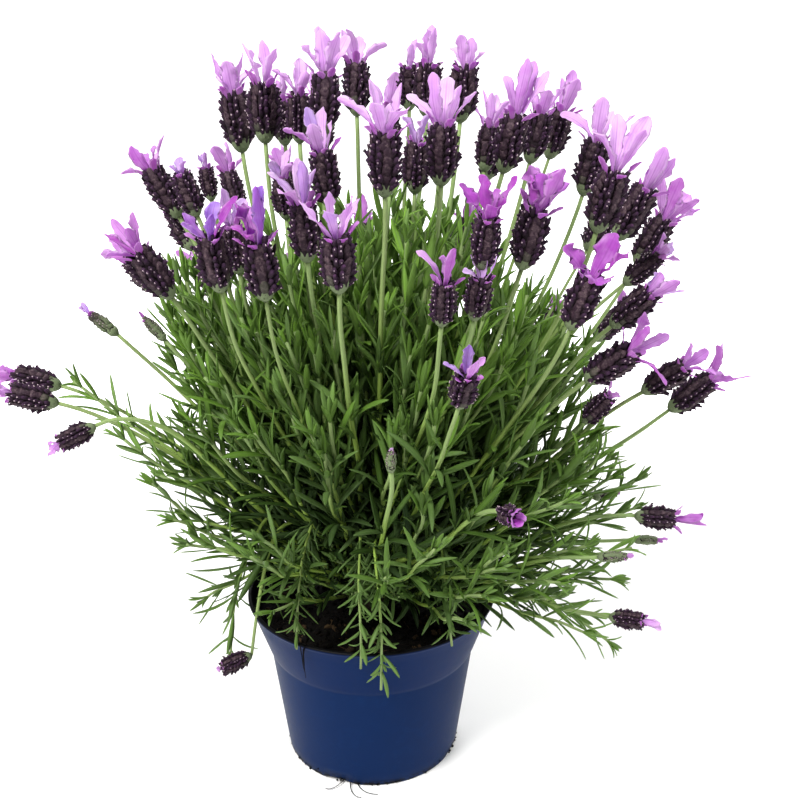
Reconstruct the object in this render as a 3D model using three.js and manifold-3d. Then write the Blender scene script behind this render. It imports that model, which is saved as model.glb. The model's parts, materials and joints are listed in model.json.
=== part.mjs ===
// A flowering Spanish lavender in its plastic nursery pot.
// Millimetres, +Z up. The origin is the middle of the pot's underside, on the surface it stands on.

import * as THREE from 'three';
import { mergeVertices } from 'three/addons/utils/BufferGeometryUtils.js';
import Module from 'manifold-3d';

const wasm = await Module();
wasm.setup();

// ---------------------------------------------------------------- driving sizes

const POT = {
  height: 105,
  rimRadius: 75,
  shoulderRadius: 62.5, // outside of the wall, just under the flared rim band
  footRadius: 53,
  bandHeight: 34, // the flared band that ends at the rim
  bandStep: 1.2, // how far the band stands out from the wall below it
  wall: 1.6,
  lipWidth: 2.6,
  lipHeight: 2,
  floorThickness: 2,
  footRingHeight: 3,
  footRingWidth: 5,
  centrePadRadius: 14,
  drainHoles: 6,
  drainHoleRadius: 4.5,
  drainCircleRadius: 31,
  footArches: 4,
  footArchWidth: 21,
  footArchTurn: 248, // degrees from +X to the first arch
  segments: 40,
};

const SOIL = {
  belowRim: 15, // from the rim down to the soil surface
  roughness: 1.4,
  ringShares: [0.86, 0.68, 0.5, 0.33], // rings of the uneven surface, from the edge inward
};

const CROWN = {
  rootRadius: 7,
  rootDepth: 18, // how deep the root collar sits in the soil
  centreAboveSoil: 9, // the point that the woody branches spread from
  collarHeight: 6, // top of the collar above that point
  branchReach: 27,
  branchBaseRadius: 2.8,
  branchTipRadius: 1.9,
  branchSides: 5,
  lowestRise: 0.42, // the flattest branch rises this much for each unit outward
};

const STEM = {
  width: 2.4, // lavender stems are square
  steps: 9,
  rimClearance: 9, // height above the rim at which a low stem crosses it
  leaveShare: 0.36, // how far a stem keeps its branch's direction, as a share of its span
  arriveShare: 0.26, // and how far it already follows its flower head's
};

const LEAF = {
  length: 30,
  width: 4.2,
  baseWidth: 1.5,
  widestAt: 0.55, // share of its length
  thickness: 0.9,
  pairsAt: [0.34, 0.56], // places along the stem
  spread: 42, // degrees between leaf and stem
  shorter: [1, 0.7, 0.45], // lengths tried where there is little room
  swings: [0, 0.25, -0.25, 0.5, -0.5, 0.75, -0.75, 1, -1], // turns tried, in radians
};

const SPIKE = {
  length: 28,
  radius: 8.4,
  cupRadius: 2.4,
  sides: 8,
};

const BRACT = {
  length: 24,
  width: 8.6,
  baseWidth: 2.6,
  widestAt: 0.64,
  thickness: 1,
  tuck: 5, // how much of the bract is held inside the spike
  firstTurn: 0.4, // radians about the spike
  innerShare: 0.8, // every other bract opens this much less
};

const CLEARANCE = 0.3; // between pieces that touch

// Each flower head: the middle of its spike from the crown's centre, how far the spike
// leans from upright, which way it leans (degrees from +X), how many bracts and their spread.
const HEADS = [
  { at: [-75, 50, 275], lean: 8, toward: 150, bracts: 4, open: 24 },
  { at: [-22, 0, 290], lean: 6, toward: 60, bracts: 5, open: 28 },
  { at: [33, 60, 294], lean: 5, toward: 60, bracts: 4, open: 20 },
  { at: [10, -70, 268], lean: 5, toward: 270, bracts: 5, open: 38 },
  { at: [112, 90, 266], lean: 18, toward: 30, bracts: 4, open: 28 },
  { at: [74, -10, 271], lean: 12, toward: 350, bracts: 4, open: 26 },
  { at: [119, -45, 246], lean: 14, toward: 340, bracts: 5, open: 30 },
  { at: [164, 45, 208], lean: 32, toward: 15, bracts: 4, open: 30 },
  { at: [104, -78, 204], lean: 20, toward: 320, bracts: 4, open: 42 },
  { at: [122, -65, 168], lean: 50, toward: 335, bracts: 4, open: 34 },
  { at: [183, 0, 130], lean: 50, toward: 0, bracts: 5, open: 34 },
  { at: [-111, 10, 243], lean: 28, toward: 180, bracts: 4, open: 26 },
  { at: [-107, -45, 210], lean: 32, toward: 200, bracts: 5, open: 30 },
  { at: [-47, -90, 222], lean: 12, toward: 250, bracts: 4, open: 32 },
  { at: [-11, -100, 228], lean: 12, toward: 265, bracts: 4, open: 26 },
  { at: [46, -125, 178], lean: 30, toward: 285, bracts: 3, open: 22 },
  { at: [-190, 0, 139], lean: 76, toward: 180, bracts: 4, open: 24 },
  { at: [-154, -62, 128], lean: 112, toward: 200, bracts: 3, open: 16 },
  { at: [69, -130, 116], lean: 74, toward: 288, bracts: 4, open: 30 },
  { at: [167, -20, 62], lean: 92, toward: 352, bracts: 3, open: 16 },
  { at: [147, -62, 20], lean: 84, toward: 335, bracts: 3, open: 14 },
  { at: [-32, 110, 268], lean: 16, toward: 105, bracts: 4, open: 26 },
  { at: [44, 145, 242], lean: 24, toward: 75, bracts: 4, open: 28 },
  { at: [-92, 130, 226], lean: 30, toward: 125, bracts: 5, open: 28 },
  { at: [104, 150, 204], lean: 34, toward: 55, bracts: 4, open: 28 },
  { at: [-146, 88, 180], lean: 46, toward: 150, bracts: 4, open: 26 },
  { at: [-8, 178, 184], lean: 50, toward: 92, bracts: 4, open: 30 },
  { at: [158, 118, 138], lean: 56, toward: 35, bracts: 4, open: 26 },
];

// ---------------------------------------------------------------- materials

const MATERIALS = {
  pot: new THREE.MeshStandardMaterial({ color: 0x23407a, roughness: 0.42, metalness: 0 }),
  soil: new THREE.MeshStandardMaterial({ color: 0x17110d, roughness: 0.97, metalness: 0 }),
  wood: new THREE.MeshStandardMaterial({ color: 0x6b5a44, roughness: 0.9, metalness: 0 }),
  leaf: new THREE.MeshStandardMaterial({ color: 0x6f8f4e, roughness: 0.75, metalness: 0 }),
  flower: new THREE.MeshStandardMaterial({ color: 0x8a5fb0, roughness: 0.7, metalness: 0 }),
};

// ---------------------------------------------------------------- solids

const UP = new THREE.Vector3(0, 0, 1);
const degrees = THREE.MathUtils.degToRad;

/** Turns a closed geometry into a manifold solid. */
function solidOf(geometry) {
  const bare = geometry.clone();
  bare.deleteAttribute('normal');
  bare.deleteAttribute('uv');
  const merged = mergeVertices(bare, 1e-4);
  const mesh = new wasm.Mesh({
    numProp: 3,
    vertProperties: new Float32Array(merged.attributes.position.array),
    triVerts: new Uint32Array(merged.index.array),
  });
  return new wasm.Manifold(mesh);
}

/** Turns a manifold solid back into a geometry. */
function geometryOf(solid) {
  const mesh = solid.getMesh();
  const geometry = new THREE.BufferGeometry();
  geometry.setAttribute('position', new THREE.Float32BufferAttribute(mesh.vertProperties, 3));
  geometry.setIndex(Array.from(mesh.triVerts));
  geometry.computeVertexNormals();
  return geometry;
}

/** A solid of revolution about +Z from [radius, height] points that start and end on the axis. */
function turned(profile, sides) {
  const points = profile.map(([radius, height]) => new THREE.Vector2(radius, height));
  const lathe = new THREE.LatheGeometry(points, sides);
  lathe.rotateX(Math.PI / 2);
  return lathe;
}

/** A thin pointed blade along +Z with its face across +Y. */
function blade({ length, width, thickness, baseWidth, widestAt }) {
  const outline = new THREE.Shape([
    new THREE.Vector2(-baseWidth / 2, 0),
    new THREE.Vector2(baseWidth / 2, 0),
    new THREE.Vector2(width / 2, length * widestAt),
    new THREE.Vector2(0, length),
    new THREE.Vector2(-width / 2, length * widestAt),
  ]);
  const plate = new THREE.ExtrudeGeometry(outline, { depth: thickness, bevelEnabled: false });
  plate.translate(0, 0, -thickness / 2);
  plate.rotateX(Math.PI / 2);
  return plate;
}

/** The direction that leans from upright by one angle, toward another, in degrees. */
function leaning(lean, toward) {
  return new THREE.Vector3(0, 0, 1)
    .applyAxisAngle(new THREE.Vector3(0, 1, 0), degrees(lean))
    .applyAxisAngle(UP, degrees(toward));
}

/** A matrix that stands +Z along a direction, turned about it, at a place. */
function standing(place, direction, turn = 0) {
  const swing = new THREE.Quaternion().setFromUnitVectors(UP, direction);
  const roll = new THREE.Quaternion().setFromAxisAngle(UP, turn);
  return new THREE.Matrix4().compose(place, swing.multiply(roll), new THREE.Vector3(1, 1, 1));
}

function named(name, geometry, material) {
  const mesh = new THREE.Mesh(geometry, material.clone());
  mesh.name = name;
  return mesh;
}

// ---------------------------------------------------------------- pot and soil

const bandBottom = POT.height - POT.bandHeight;

/** The wall's outside radius at a height. */
function potOutside(height) {
  if (height >= bandBottom) {
    const share = (height - bandBottom) / POT.bandHeight;
    return THREE.MathUtils.lerp(POT.shoulderRadius + POT.bandStep, POT.rimRadius, share);
  }
  return THREE.MathUtils.lerp(POT.footRadius, POT.shoulderRadius, height / bandBottom);
}

function potInside(height) {
  return potOutside(height) - POT.wall;
}

const potFloor = POT.footRingHeight + POT.floorThickness;
const soilTop = POT.height - SOIL.belowRim;

function makePot() {
  const ringInner = POT.footRadius - POT.footRingWidth;
  const lipBottom = POT.height - POT.lipHeight;
  const shell = turned([
    [0, 0],
    [POT.centrePadRadius, 0],
    [POT.centrePadRadius + 1.5, POT.footRingHeight],
    [ringInner - 1.5, POT.footRingHeight],
    [ringInner, 0],
    [POT.footRadius - 0.6, 0],
    [potOutside(1), 1],
    [potOutside(bandBottom - 2), bandBottom - 2],
    [potOutside(bandBottom), bandBottom],
    [potOutside(lipBottom), lipBottom],
    [POT.rimRadius, lipBottom + 0.5],
    [POT.rimRadius, POT.height - 0.4],
    [POT.rimRadius - 0.5, POT.height],
    [POT.rimRadius - POT.lipWidth, POT.height],
    [potInside(lipBottom), lipBottom],
    [potInside(bandBottom), bandBottom],
    [potInside(bandBottom - 2), bandBottom - 2],
    [potInside(potFloor + 1), potFloor + 1],
    [potInside(potFloor) - 1, potFloor],
    [0, potFloor],
  ], POT.segments);
  let pot = solidOf(shell);

  for (let i = 0; i < POT.drainHoles; i += 1) {
    const angle = (i / POT.drainHoles) * Math.PI * 2;
    const drill = new THREE.CylinderGeometry(POT.drainHoleRadius, POT.drainHoleRadius, potFloor * 3, 10);
    drill.rotateX(Math.PI / 2);
    drill.translate(Math.cos(angle) * POT.drainCircleRadius, Math.sin(angle) * POT.drainCircleRadius, 0);
    pot = pot.subtract(solidOf(drill));
  }

  const archHeight = POT.footRingHeight - CLEARANCE;
  const arch = new THREE.Shape();
  arch.moveTo(-POT.footArchWidth / 2, -1);
  arch.lineTo(POT.footArchWidth / 2, -1);
  arch.bezierCurveTo(
    POT.footArchWidth * 0.3, archHeight * 1.35,
    -POT.footArchWidth * 0.3, archHeight * 1.35,
    -POT.footArchWidth / 2, -1,
  );
  const cut = new THREE.ExtrudeGeometry(arch, {
    depth: POT.footRingWidth + 6, bevelEnabled: false, curveSegments: 6,
  });
  cut.rotateX(Math.PI / 2);
  cut.translate(0, POT.footRadius + 3, 0);
  for (let i = 0; i < POT.footArches; i += 1) {
    const turn = degrees(POT.footArchTurn - 90 + (360 * i) / POT.footArches);
    pot = pot.subtract(solidOf(cut.clone().rotateZ(turn)));
  }
  return named('pot', geometryOf(pot), MATERIALS.pot);
}

function makeSoil() {
  const socket = CROWN.rootRadius + CLEARANCE;
  const socketFloor = soilTop - CROWN.rootDepth;
  const bottom = potFloor + CLEARANCE;
  const edge = (height) => potInside(height) - CLEARANCE;
  const geometry = turned([
    [0, bottom],
    [edge(bottom) - 1, bottom],
    [edge(bottom + 1), bottom + 1],
    [edge(bandBottom - 2), bandBottom - 2],
    [edge(bandBottom), bandBottom],
    [edge(soilTop - 1), soilTop - 1],
    ...SOIL.ringShares.map((share) => [edge(soilTop) * share, soilTop]),
    [socket, soilTop],
    [socket, socketFloor],
    [0, socketFloor],
  ], POT.segments);
  const position = geometry.attributes.position;
  for (let i = 0; i < position.count; i += 1) {
    const x = position.getX(i);
    const y = position.getY(i);
    const inBed = position.getZ(i) > soilTop - 0.5 && Math.hypot(x, y) > socket + 1;
    if (inBed) {
      const lumps = Math.sin(x * 0.31 + y * 0.17) * Math.sin(y * 0.29 - x * 0.11);
      position.setZ(i, soilTop + SOIL.roughness * lumps);
    }
  }
  return named('potting_soil', geometryOf(solidOf(geometry)), MATERIALS.soil);
}

// ---------------------------------------------------------------- routes of the stems

const crownHeight = soilTop + CROWN.centreAboveSoil;

/** Where one head stands and the way its stem takes from the crown, in the plant's own frame. */
function routeOf(head) {
  const axis = leaning(head.lean, head.toward);
  const middle = new THREE.Vector3(...head.at);
  const headBase = middle.clone().addScaledVector(axis, -SPIKE.length / 2);
  const tip = headBase.clone().addScaledVector(axis, -CLEARANCE);
  const outward = tip.clone().normalize();
  outward.z = Math.max(outward.z, CROWN.lowestRise);
  outward.normalize();
  const start = outward.clone().multiplyScalar(CROWN.branchReach + CLEARANCE);
  const span = tip.distanceTo(start);
  const leave = start.clone().addScaledVector(outward, span * STEM.leaveShare);
  const arrive = tip.clone().addScaledVector(axis, -span * STEM.arriveShare);
  const curve = new THREE.CubicBezierCurve3(start, leave, arrive, tip);
  liftOverRim(curve);
  return { axis, headBase, outward, curve };
}

/** Raises the middle of a stem until it crosses the pot's rim with room to spare. */
function liftOverRim(curve) {
  const rim = POT.height - crownHeight;
  for (let tries = 0; tries < 40; tries += 1) {
    const low = curve.getPoints(24).some((point) => {
      const radius = Math.hypot(point.x, point.y);
      const overWall = radius > POT.rimRadius - 20 && radius < POT.rimRadius + 12;
      return overWall && point.z < rim + STEM.rimClearance;
    });
    if (!low) return;
    curve.v1.addScaledVector(UP, 1.5);
    curve.v2.addScaledVector(UP, 2.5);
  }
}

// ---------------------------------------------------------------- crown

function makeCrown(routes) {
  const top = CROWN.collarHeight;
  const bottom = -CROWN.centreAboveSoil - CROWN.rootDepth + CLEARANCE;
  let crown = solidOf(turned([
    [0, bottom],
    [CROWN.rootRadius * 0.8, bottom],
    [CROWN.rootRadius, bottom + 3],
    [CROWN.rootRadius, -CROWN.centreAboveSoil + 2],
    [CROWN.rootRadius * 1.25, 0],
    [CROWN.rootRadius, top - 1],
    [CROWN.rootRadius * 0.5, top],
    [0, top],
  ], 10));
  for (const route of routes) {
    const branch = new THREE.CylinderGeometry(
      CROWN.branchTipRadius, CROWN.branchBaseRadius, CROWN.branchReach, CROWN.branchSides,
    );
    branch.rotateX(Math.PI / 2);
    branch.translate(0, 0, CROWN.branchReach / 2);
    branch.applyMatrix4(standing(new THREE.Vector3(), route.outward));
    crown = crown.add(solidOf(branch));
  }
  return named('woody_crown', geometryOf(crown), MATERIALS.wood);
}

// ---------------------------------------------------------------- flower heads

function flowerHeadGeometry(head) {
  let solid = solidOf(turned([
    [0, 0],
    [SPIKE.cupRadius, 0],
    [SPIKE.radius * 0.86, SPIKE.length * 0.16],
    [SPIKE.radius, SPIKE.length * 0.42],
    [SPIKE.radius * 0.92, SPIKE.length * 0.8],
    [SPIKE.radius * 0.5, SPIKE.length],
    [0, SPIKE.length],
  ], SPIKE.sides));
  for (let i = 0; i < head.bracts; i += 1) {
    const turn = (i / head.bracts) * Math.PI * 2 + BRACT.firstTurn;
    const petal = blade({ ...BRACT, length: BRACT.length + BRACT.tuck });
    petal.translate(0, 0, -BRACT.tuck);
    petal.rotateX(-degrees(head.open * (i % 2 ? 1 : BRACT.innerShare)));
    petal.translate(0, SPIKE.radius * 0.3, SPIKE.length);
    petal.rotateZ(turn);
    solid = solid.add(solidOf(petal));
  }
  return geometryOf(solid);
}

// ---------------------------------------------------------------- leafy shoots

function stemSolid(curve) {
  const half = STEM.width / 2;
  const section = new THREE.Shape([
    new THREE.Vector2(-half, -half),
    new THREE.Vector2(half, -half),
    new THREE.Vector2(half, half),
    new THREE.Vector2(-half, half),
  ]);
  return solidOf(new THREE.ExtrudeGeometry(section, { steps: STEM.steps, extrudePath: curve }));
}

/** One leaf on the stem, reaching out and up from it. */
function leafSolid(curve, along, turn, length) {
  const place = curve.getPointAt(along);
  const forward = curve.getTangentAt(along);
  const leaf = blade({ ...LEAF, length });
  leaf.rotateX(-degrees(LEAF.spread));
  leaf.applyMatrix4(standing(place, forward, turn));
  return solidOf(leaf);
}

function boxesApart(a, b, room) {
  for (let i = 0; i < 3; i += 1) {
    if (a.min[i] > b.max[i] + room || b.min[i] > a.max[i] + room) return true;
  }
  return false;
}

/** Whether a solid keeps its clearance from all of the others. */
function isFree(solid, others) {
  const box = solid.boundingBox();
  const room = CLEARANCE * 2;
  return others.every((other) => boxesApart(box, other.box, room) || solid.minGap(other.solid, room) >= room);
}

function boxed(solid) {
  return { solid, box: solid.boundingBox() };
}

/** The open space between the soil and the rim, which leaves keep out of. */
function headspaceSolid() {
  const rim = POT.height - crownHeight;
  const bed = soilTop - crownHeight;
  return solidOf(turned([
    [0, bed],
    [potInside(soilTop), bed],
    [POT.rimRadius, rim],
    [0, rim],
  ], POT.segments));
}

/** Adds leaves in pairs to each stem, each turned to where there is room for it. */
function makeShoots(routes, fixed) {
  const placed = [...fixed, ...routes.map((route, owner) => ({ ...boxed(stemSolid(route.curve)), owner }))];
  return routes.map((route, index) => {
    let shoot = placed[fixed.length + index].solid;
    const others = () => placed.filter((item) => item.owner !== index);
    LEAF.pairsAt.forEach((along, pair) => {
      for (let side = 0; side < 2; side += 1) {
        const firstTurn = index + pair * (Math.PI / 2) + side * Math.PI;
        const leaf = freeLeaf(route.curve, along, firstTurn, others());
        if (leaf) {
          shoot = shoot.add(leaf);
          placed.push({ ...boxed(leaf), owner: index });
        }
      }
    });
    return named(`shoot_${String(index + 1).padStart(2, '0')}`, geometryOf(shoot), MATERIALS.leaf);
  });
}

/** A leaf in the first turn and length that clears everything else, or none. */
function freeLeaf(curve, along, firstTurn, others) {
  for (const share of LEAF.shorter) {
    for (const swing of LEAF.swings) {
      const leaf = leafSolid(curve, along, firstTurn + swing, LEAF.length * share);
      if (isFree(leaf, others)) return leaf;
    }
  }
  return null;
}

// ---------------------------------------------------------------- assembly

const lavender = new THREE.Group();
const pot = makePot();
const soil = makeSoil();
lavender.add(pot, soil);

const plant = new THREE.Group();
plant.position.z = crownHeight;
lavender.add(plant);

const routes = HEADS.map(routeOf);
const crown = makeCrown(routes);
plant.add(crown);

const heads = HEADS.map((head, index) => {
  const mesh = named(
    `flower_head_${String(index + 1).padStart(2, '0')}`, flowerHeadGeometry(head), MATERIALS.flower,
  );
  const { headBase, axis } = routes[index];
  standing(headBase, axis, index).decompose(mesh.position, mesh.quaternion, mesh.scale);
  return mesh;
});

const intoPlant = new THREE.Matrix4().makeTranslation(0, 0, -crownHeight);
const fixed = [pot, soil].map((mesh) => boxed(solidOf(mesh.geometry.clone().applyMatrix4(intoPlant))));
fixed.push(boxed(solidOf(crown.geometry)), boxed(headspaceSolid()));
heads.forEach((mesh) => {
  mesh.updateMatrix();
  fixed.push(boxed(solidOf(mesh.geometry.clone().applyMatrix4(mesh.matrix))));
});
plant.add(...makeShoots(routes, fixed), ...heads);

export default lavender;
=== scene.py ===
"""Looks of a potted Spanish lavender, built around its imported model, in metres with +Z up."""

import json
import logging
import math
from dataclasses import dataclass, field
from enum import Enum, IntEnum
from typing import Any, Sequence

import bpy
import numpy as np
from mathutils import Matrix, Vector

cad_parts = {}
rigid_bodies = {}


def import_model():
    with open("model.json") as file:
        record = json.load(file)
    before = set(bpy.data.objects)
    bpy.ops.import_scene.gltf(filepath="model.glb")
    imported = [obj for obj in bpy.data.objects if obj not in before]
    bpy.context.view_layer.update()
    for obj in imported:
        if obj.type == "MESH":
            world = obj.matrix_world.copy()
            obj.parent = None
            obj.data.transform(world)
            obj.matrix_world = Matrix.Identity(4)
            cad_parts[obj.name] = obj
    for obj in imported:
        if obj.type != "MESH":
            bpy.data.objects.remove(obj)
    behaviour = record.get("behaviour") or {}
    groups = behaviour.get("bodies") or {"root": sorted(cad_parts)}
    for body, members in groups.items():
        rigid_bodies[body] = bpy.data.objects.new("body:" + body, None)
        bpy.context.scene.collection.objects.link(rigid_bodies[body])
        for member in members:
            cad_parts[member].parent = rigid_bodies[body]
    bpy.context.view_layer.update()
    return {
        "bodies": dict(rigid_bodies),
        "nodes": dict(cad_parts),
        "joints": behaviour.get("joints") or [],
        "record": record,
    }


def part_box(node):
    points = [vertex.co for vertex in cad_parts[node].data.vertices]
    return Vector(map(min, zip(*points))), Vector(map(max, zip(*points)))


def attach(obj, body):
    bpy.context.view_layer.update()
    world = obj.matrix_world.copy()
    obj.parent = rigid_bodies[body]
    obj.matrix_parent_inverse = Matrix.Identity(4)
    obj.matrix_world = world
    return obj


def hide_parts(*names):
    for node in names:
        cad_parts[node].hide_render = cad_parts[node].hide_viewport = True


LOG = logging.getLogger("lavender")
MM = 0.001
Array = np.ndarray
Colour = tuple[float, float, float, float]
Spray = tuple[tuple[float, float, float], float, float]


def unit(vectors: Array) -> Array:
    """Vectors scaled to length one along their last axis."""
    return vectors / np.maximum(np.linalg.norm(vectors, axis=-1, keepdims=True), 1e-12)


def leaning(lean: float, toward: float) -> Array:
    """The direction that leans from upright by one angle, toward another.

    Args:
        lean: Degrees from +Z.
        toward: Degrees from +X, seen from above.

    Returns:
        A direction of length one.
    """
    tilt, turn = math.radians(lean), math.radians(toward)
    return np.array([math.sin(tilt) * math.cos(turn), math.sin(tilt) * math.sin(turn), math.cos(tilt)])


def turned(radii: Array, heights: Array, turns: Array, lumps: Any = 1.0) -> Array:
    """The points of a closed shape turned about +Z.

    Args:
        radii: Its radius at each station.
        heights: Each station's height.
        turns: The angle of each corner, in radians.
        lumps: What each corner's radius is multiplied by.

    Returns:
        Points, one tube by stations by corners by three.
    """
    points = np.zeros((1, len(radii), len(turns), 3))
    points[0, ..., 0] = radii[:, None] * np.cos(turns) * lumps
    points[0, ..., 1] = radii[:, None] * np.sin(turns) * lumps
    points[0, ..., 2] = heights[:, None]
    return points


def around(count: int) -> Array:
    """Evenly spread angles of a full turn, in radians."""
    return np.linspace(0, 2 * np.pi, count, endpoint=False)


class Seed(IntEnum):
    """Where each kind of piece starts counting its seeds."""

    CROWN = 5
    BED = 8
    FRAMED_TURNS = 11
    CLINGING = 12
    FREE_TURNS = 23
    FRAMED_HEAD = 100
    FREE_STEM = 300
    FREE_HEAD = 400
    LEAFY_SHOOT = 600
    CANOPY = 7000
    UNDERGROWTH = 9000


# ------------------------------------------------------------------ shader expressions


class Shade:
    """A shader socket that takes part in arithmetic."""

    def __init__(self, recipe: "Recipe", socket: bpy.types.NodeSocket) -> None:
        """Wraps one output socket of a recipe's node."""
        self.recipe = recipe
        self.socket = socket

    def _math(self, operation: str, *values: Any, clamp: bool = False) -> "Shade":
        """One Math node.

        Args:
            operation: The Math node's operation.
            values: Its inputs, in order.
            clamp: Whether the result is held between 0 and 1.

        Returns:
            The node's result.
        """
        settings = {"operation": operation, "use_clamp": clamp}
        return self.recipe.node("ShaderNodeMath", settings, dict(enumerate(values)))

    def __add__(self, other: Any) -> "Shade":
        """Sum."""
        return self._math("ADD", self, other)

    __radd__ = __add__

    def __sub__(self, other: Any) -> "Shade":
        """Difference."""
        return self._math("SUBTRACT", self, other)

    def __rsub__(self, other: Any) -> "Shade":
        """Difference, from the other side."""
        return self._math("SUBTRACT", other, self)

    def __mul__(self, other: Any) -> "Shade":
        """Product."""
        return self._math("MULTIPLY", self, other)

    __rmul__ = __mul__

    def wave(self) -> "Shade":
        """Sine of the value in radians."""
        return self._math("SINE", self)

    def held(self) -> "Shade":
        """The value held between 0 and 1."""
        return self._math("ADD", self, 0.0, clamp=True)

    def over(self, low: float, high: float) -> "Shade":
        """How far the value lies from low to high, held between 0 and 1."""
        return ((self - low) * (1 / (high - low))).held()


class Recipe:
    """The node tree of one finish."""

    def __init__(self, name: str) -> None:
        """Starts an empty material.

        Args:
            name: Its name.
        """
        self.material = bpy.data.materials.new(name)
        self.material.use_nodes = True
        self.tree = self.material.node_tree
        self.tree.nodes.clear()

    def raw(self, kind: str, settings: dict[str, Any], inputs: dict[Any, Any]) -> bpy.types.Node:
        """Adds one node.

        Args:
            kind: The node's type name.
            settings: Its properties, set first; stops is a colour ramp's list of (place, colour).
            inputs: Values or shades for its sockets, by index, name or identifier.

        Returns:
            The node.
        """
        node = self.tree.nodes.new(kind)
        for key, value in settings.items():
            if key == "stops":
                self._ramp(node, value)
            else:
                setattr(node, key, value)
        for key, value in inputs.items():
            socket = self.find(node.inputs, key)
            if isinstance(value, Shade):
                self.tree.links.new(value.socket, socket)
            else:
                socket.default_value = value
        return node

    def node(self, kind: str, settings: dict[str, Any], inputs: dict[Any, Any], output: Any = 0) -> Shade:
        """Adds one node and gives one of its outputs."""
        made = self.raw(kind, settings, inputs)
        return Shade(self, self.find(made.outputs, output))

    @staticmethod
    def find(sockets: Any, key: Any) -> bpy.types.NodeSocket:
        """Finds one socket.

        Args:
            sockets: A node's inputs or outputs.
            key: An index, identifier or name.

        Returns:
            The socket.
        """
        if isinstance(key, int):
            return sockets[key]
        for socket in sockets:
            if socket.identifier == key:
                return socket
        return sockets[key]

    @staticmethod
    def _ramp(node: bpy.types.Node, stops: Sequence[tuple[float, Colour]]) -> None:
        """Sets a colour ramp's stops.

        Args:
            node: The ramp.
            stops: Each stop's place and colour.
        """
        elements = node.color_ramp.elements
        while len(elements) < len(stops):
            elements.new(0.5)
        for element, (place, colour) in zip(elements, stops):
            element.position = place
            element.color = colour

    def ramp(self, factor: Shade, stops: Sequence[tuple[float, Colour]]) -> Shade:
        """A colour that follows a value through stops."""
        return self.node("ShaderNodeValToRGB", {"stops": stops}, {0: factor}, "Color")

    def mix(self, factor: Any, first: Any, second: Any) -> Shade:
        """Two colours mixed.

        Args:
            factor: How much of the second colour there is.
            first: The first colour.
            second: The second colour.

        Returns:
            The mixed colour.
        """
        settings = {"data_type": "RGBA", "blend_type": "MIX"}
        inputs = {"Factor_Float": factor, "A_Color": first, "B_Color": second}
        return self.node("ShaderNodeMix", settings, inputs, "Result_Color")

    def place(self) -> Shade:
        """The place on the object, in metres."""
        return self.node("ShaderNodeTexCoord", {}, {}, "Object")

    def noise(self, scale: float, detail: float = 3.0, rough: float = 0.55, twist: float = 0.0) -> Shade:
        """Smooth noise about 0.5, with features of 1/scale metres."""
        inputs = {"Vector": self.place(), "Scale": scale, "Detail": detail,
                  "Roughness": rough, "Distortion": twist}
        return self.node("ShaderNodeTexNoise", {}, inputs, "Fac")

    def cells(self, scale: float) -> Shade:
        """Distance to the nearest of scattered points, with cells of 1/scale metres."""
        return self.node("ShaderNodeTexVoronoi", {}, {"Vector": self.place(), "Scale": scale}, "Distance")

    def tint(self) -> tuple[Shade, Shade, Shade, Shade]:
        """The four numbers painted on each vertex.

        Returns:
            Chance, along, side and age.
        """
        colour = self.raw("ShaderNodeAttribute", {"attribute_name": "tint"}, {})
        parts = self.raw("ShaderNodeSeparateColor", {}, {0: Shade(self, colour.outputs["Color"])})
        age = Shade(self, colour.outputs["Alpha"])
        return (*(Shade(self, parts.outputs[i]) for i in range(3)), age)

    def across(self) -> Shade:
        """How far a point lies from its blade's midrib, from 0 to 1 at the edge."""
        return self.node("ShaderNodeAttribute", {"attribute_name": "across"}, {}, "Fac")

    def bump(self, height: Shade, strength: float, distance: float) -> Shade:
        """A normal from a height."""
        inputs = {"Strength": strength, "Distance": distance, "Height": height}
        return self.node("ShaderNodeBump", {}, inputs, "Normal")

    def finish(self, inputs: dict[str, Any], glow: float = 0.0, glow_colour: Any = None) -> bpy.types.Material:
        """Closes the recipe with a Principled shader.

        Args:
            inputs: The shader's sockets.
            glow: How much light passes through a thin blade, from 0 to 1.
            glow_colour: The colour of that light.

        Returns:
            The material.
        """
        surface = self.node("ShaderNodeBsdfPrincipled", {}, inputs, "BSDF")
        if glow:
            through = self.node("ShaderNodeBsdfTranslucent", {}, {"Color": glow_colour}, 0)
            surface = self.node("ShaderNodeMixShader", {}, {0: glow, 1: surface, 2: through}, 0)
        self.raw("ShaderNodeOutputMaterial", {}, {"Surface": surface})
        return self.material


# ------------------------------------------------------------------ finishes


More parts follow.
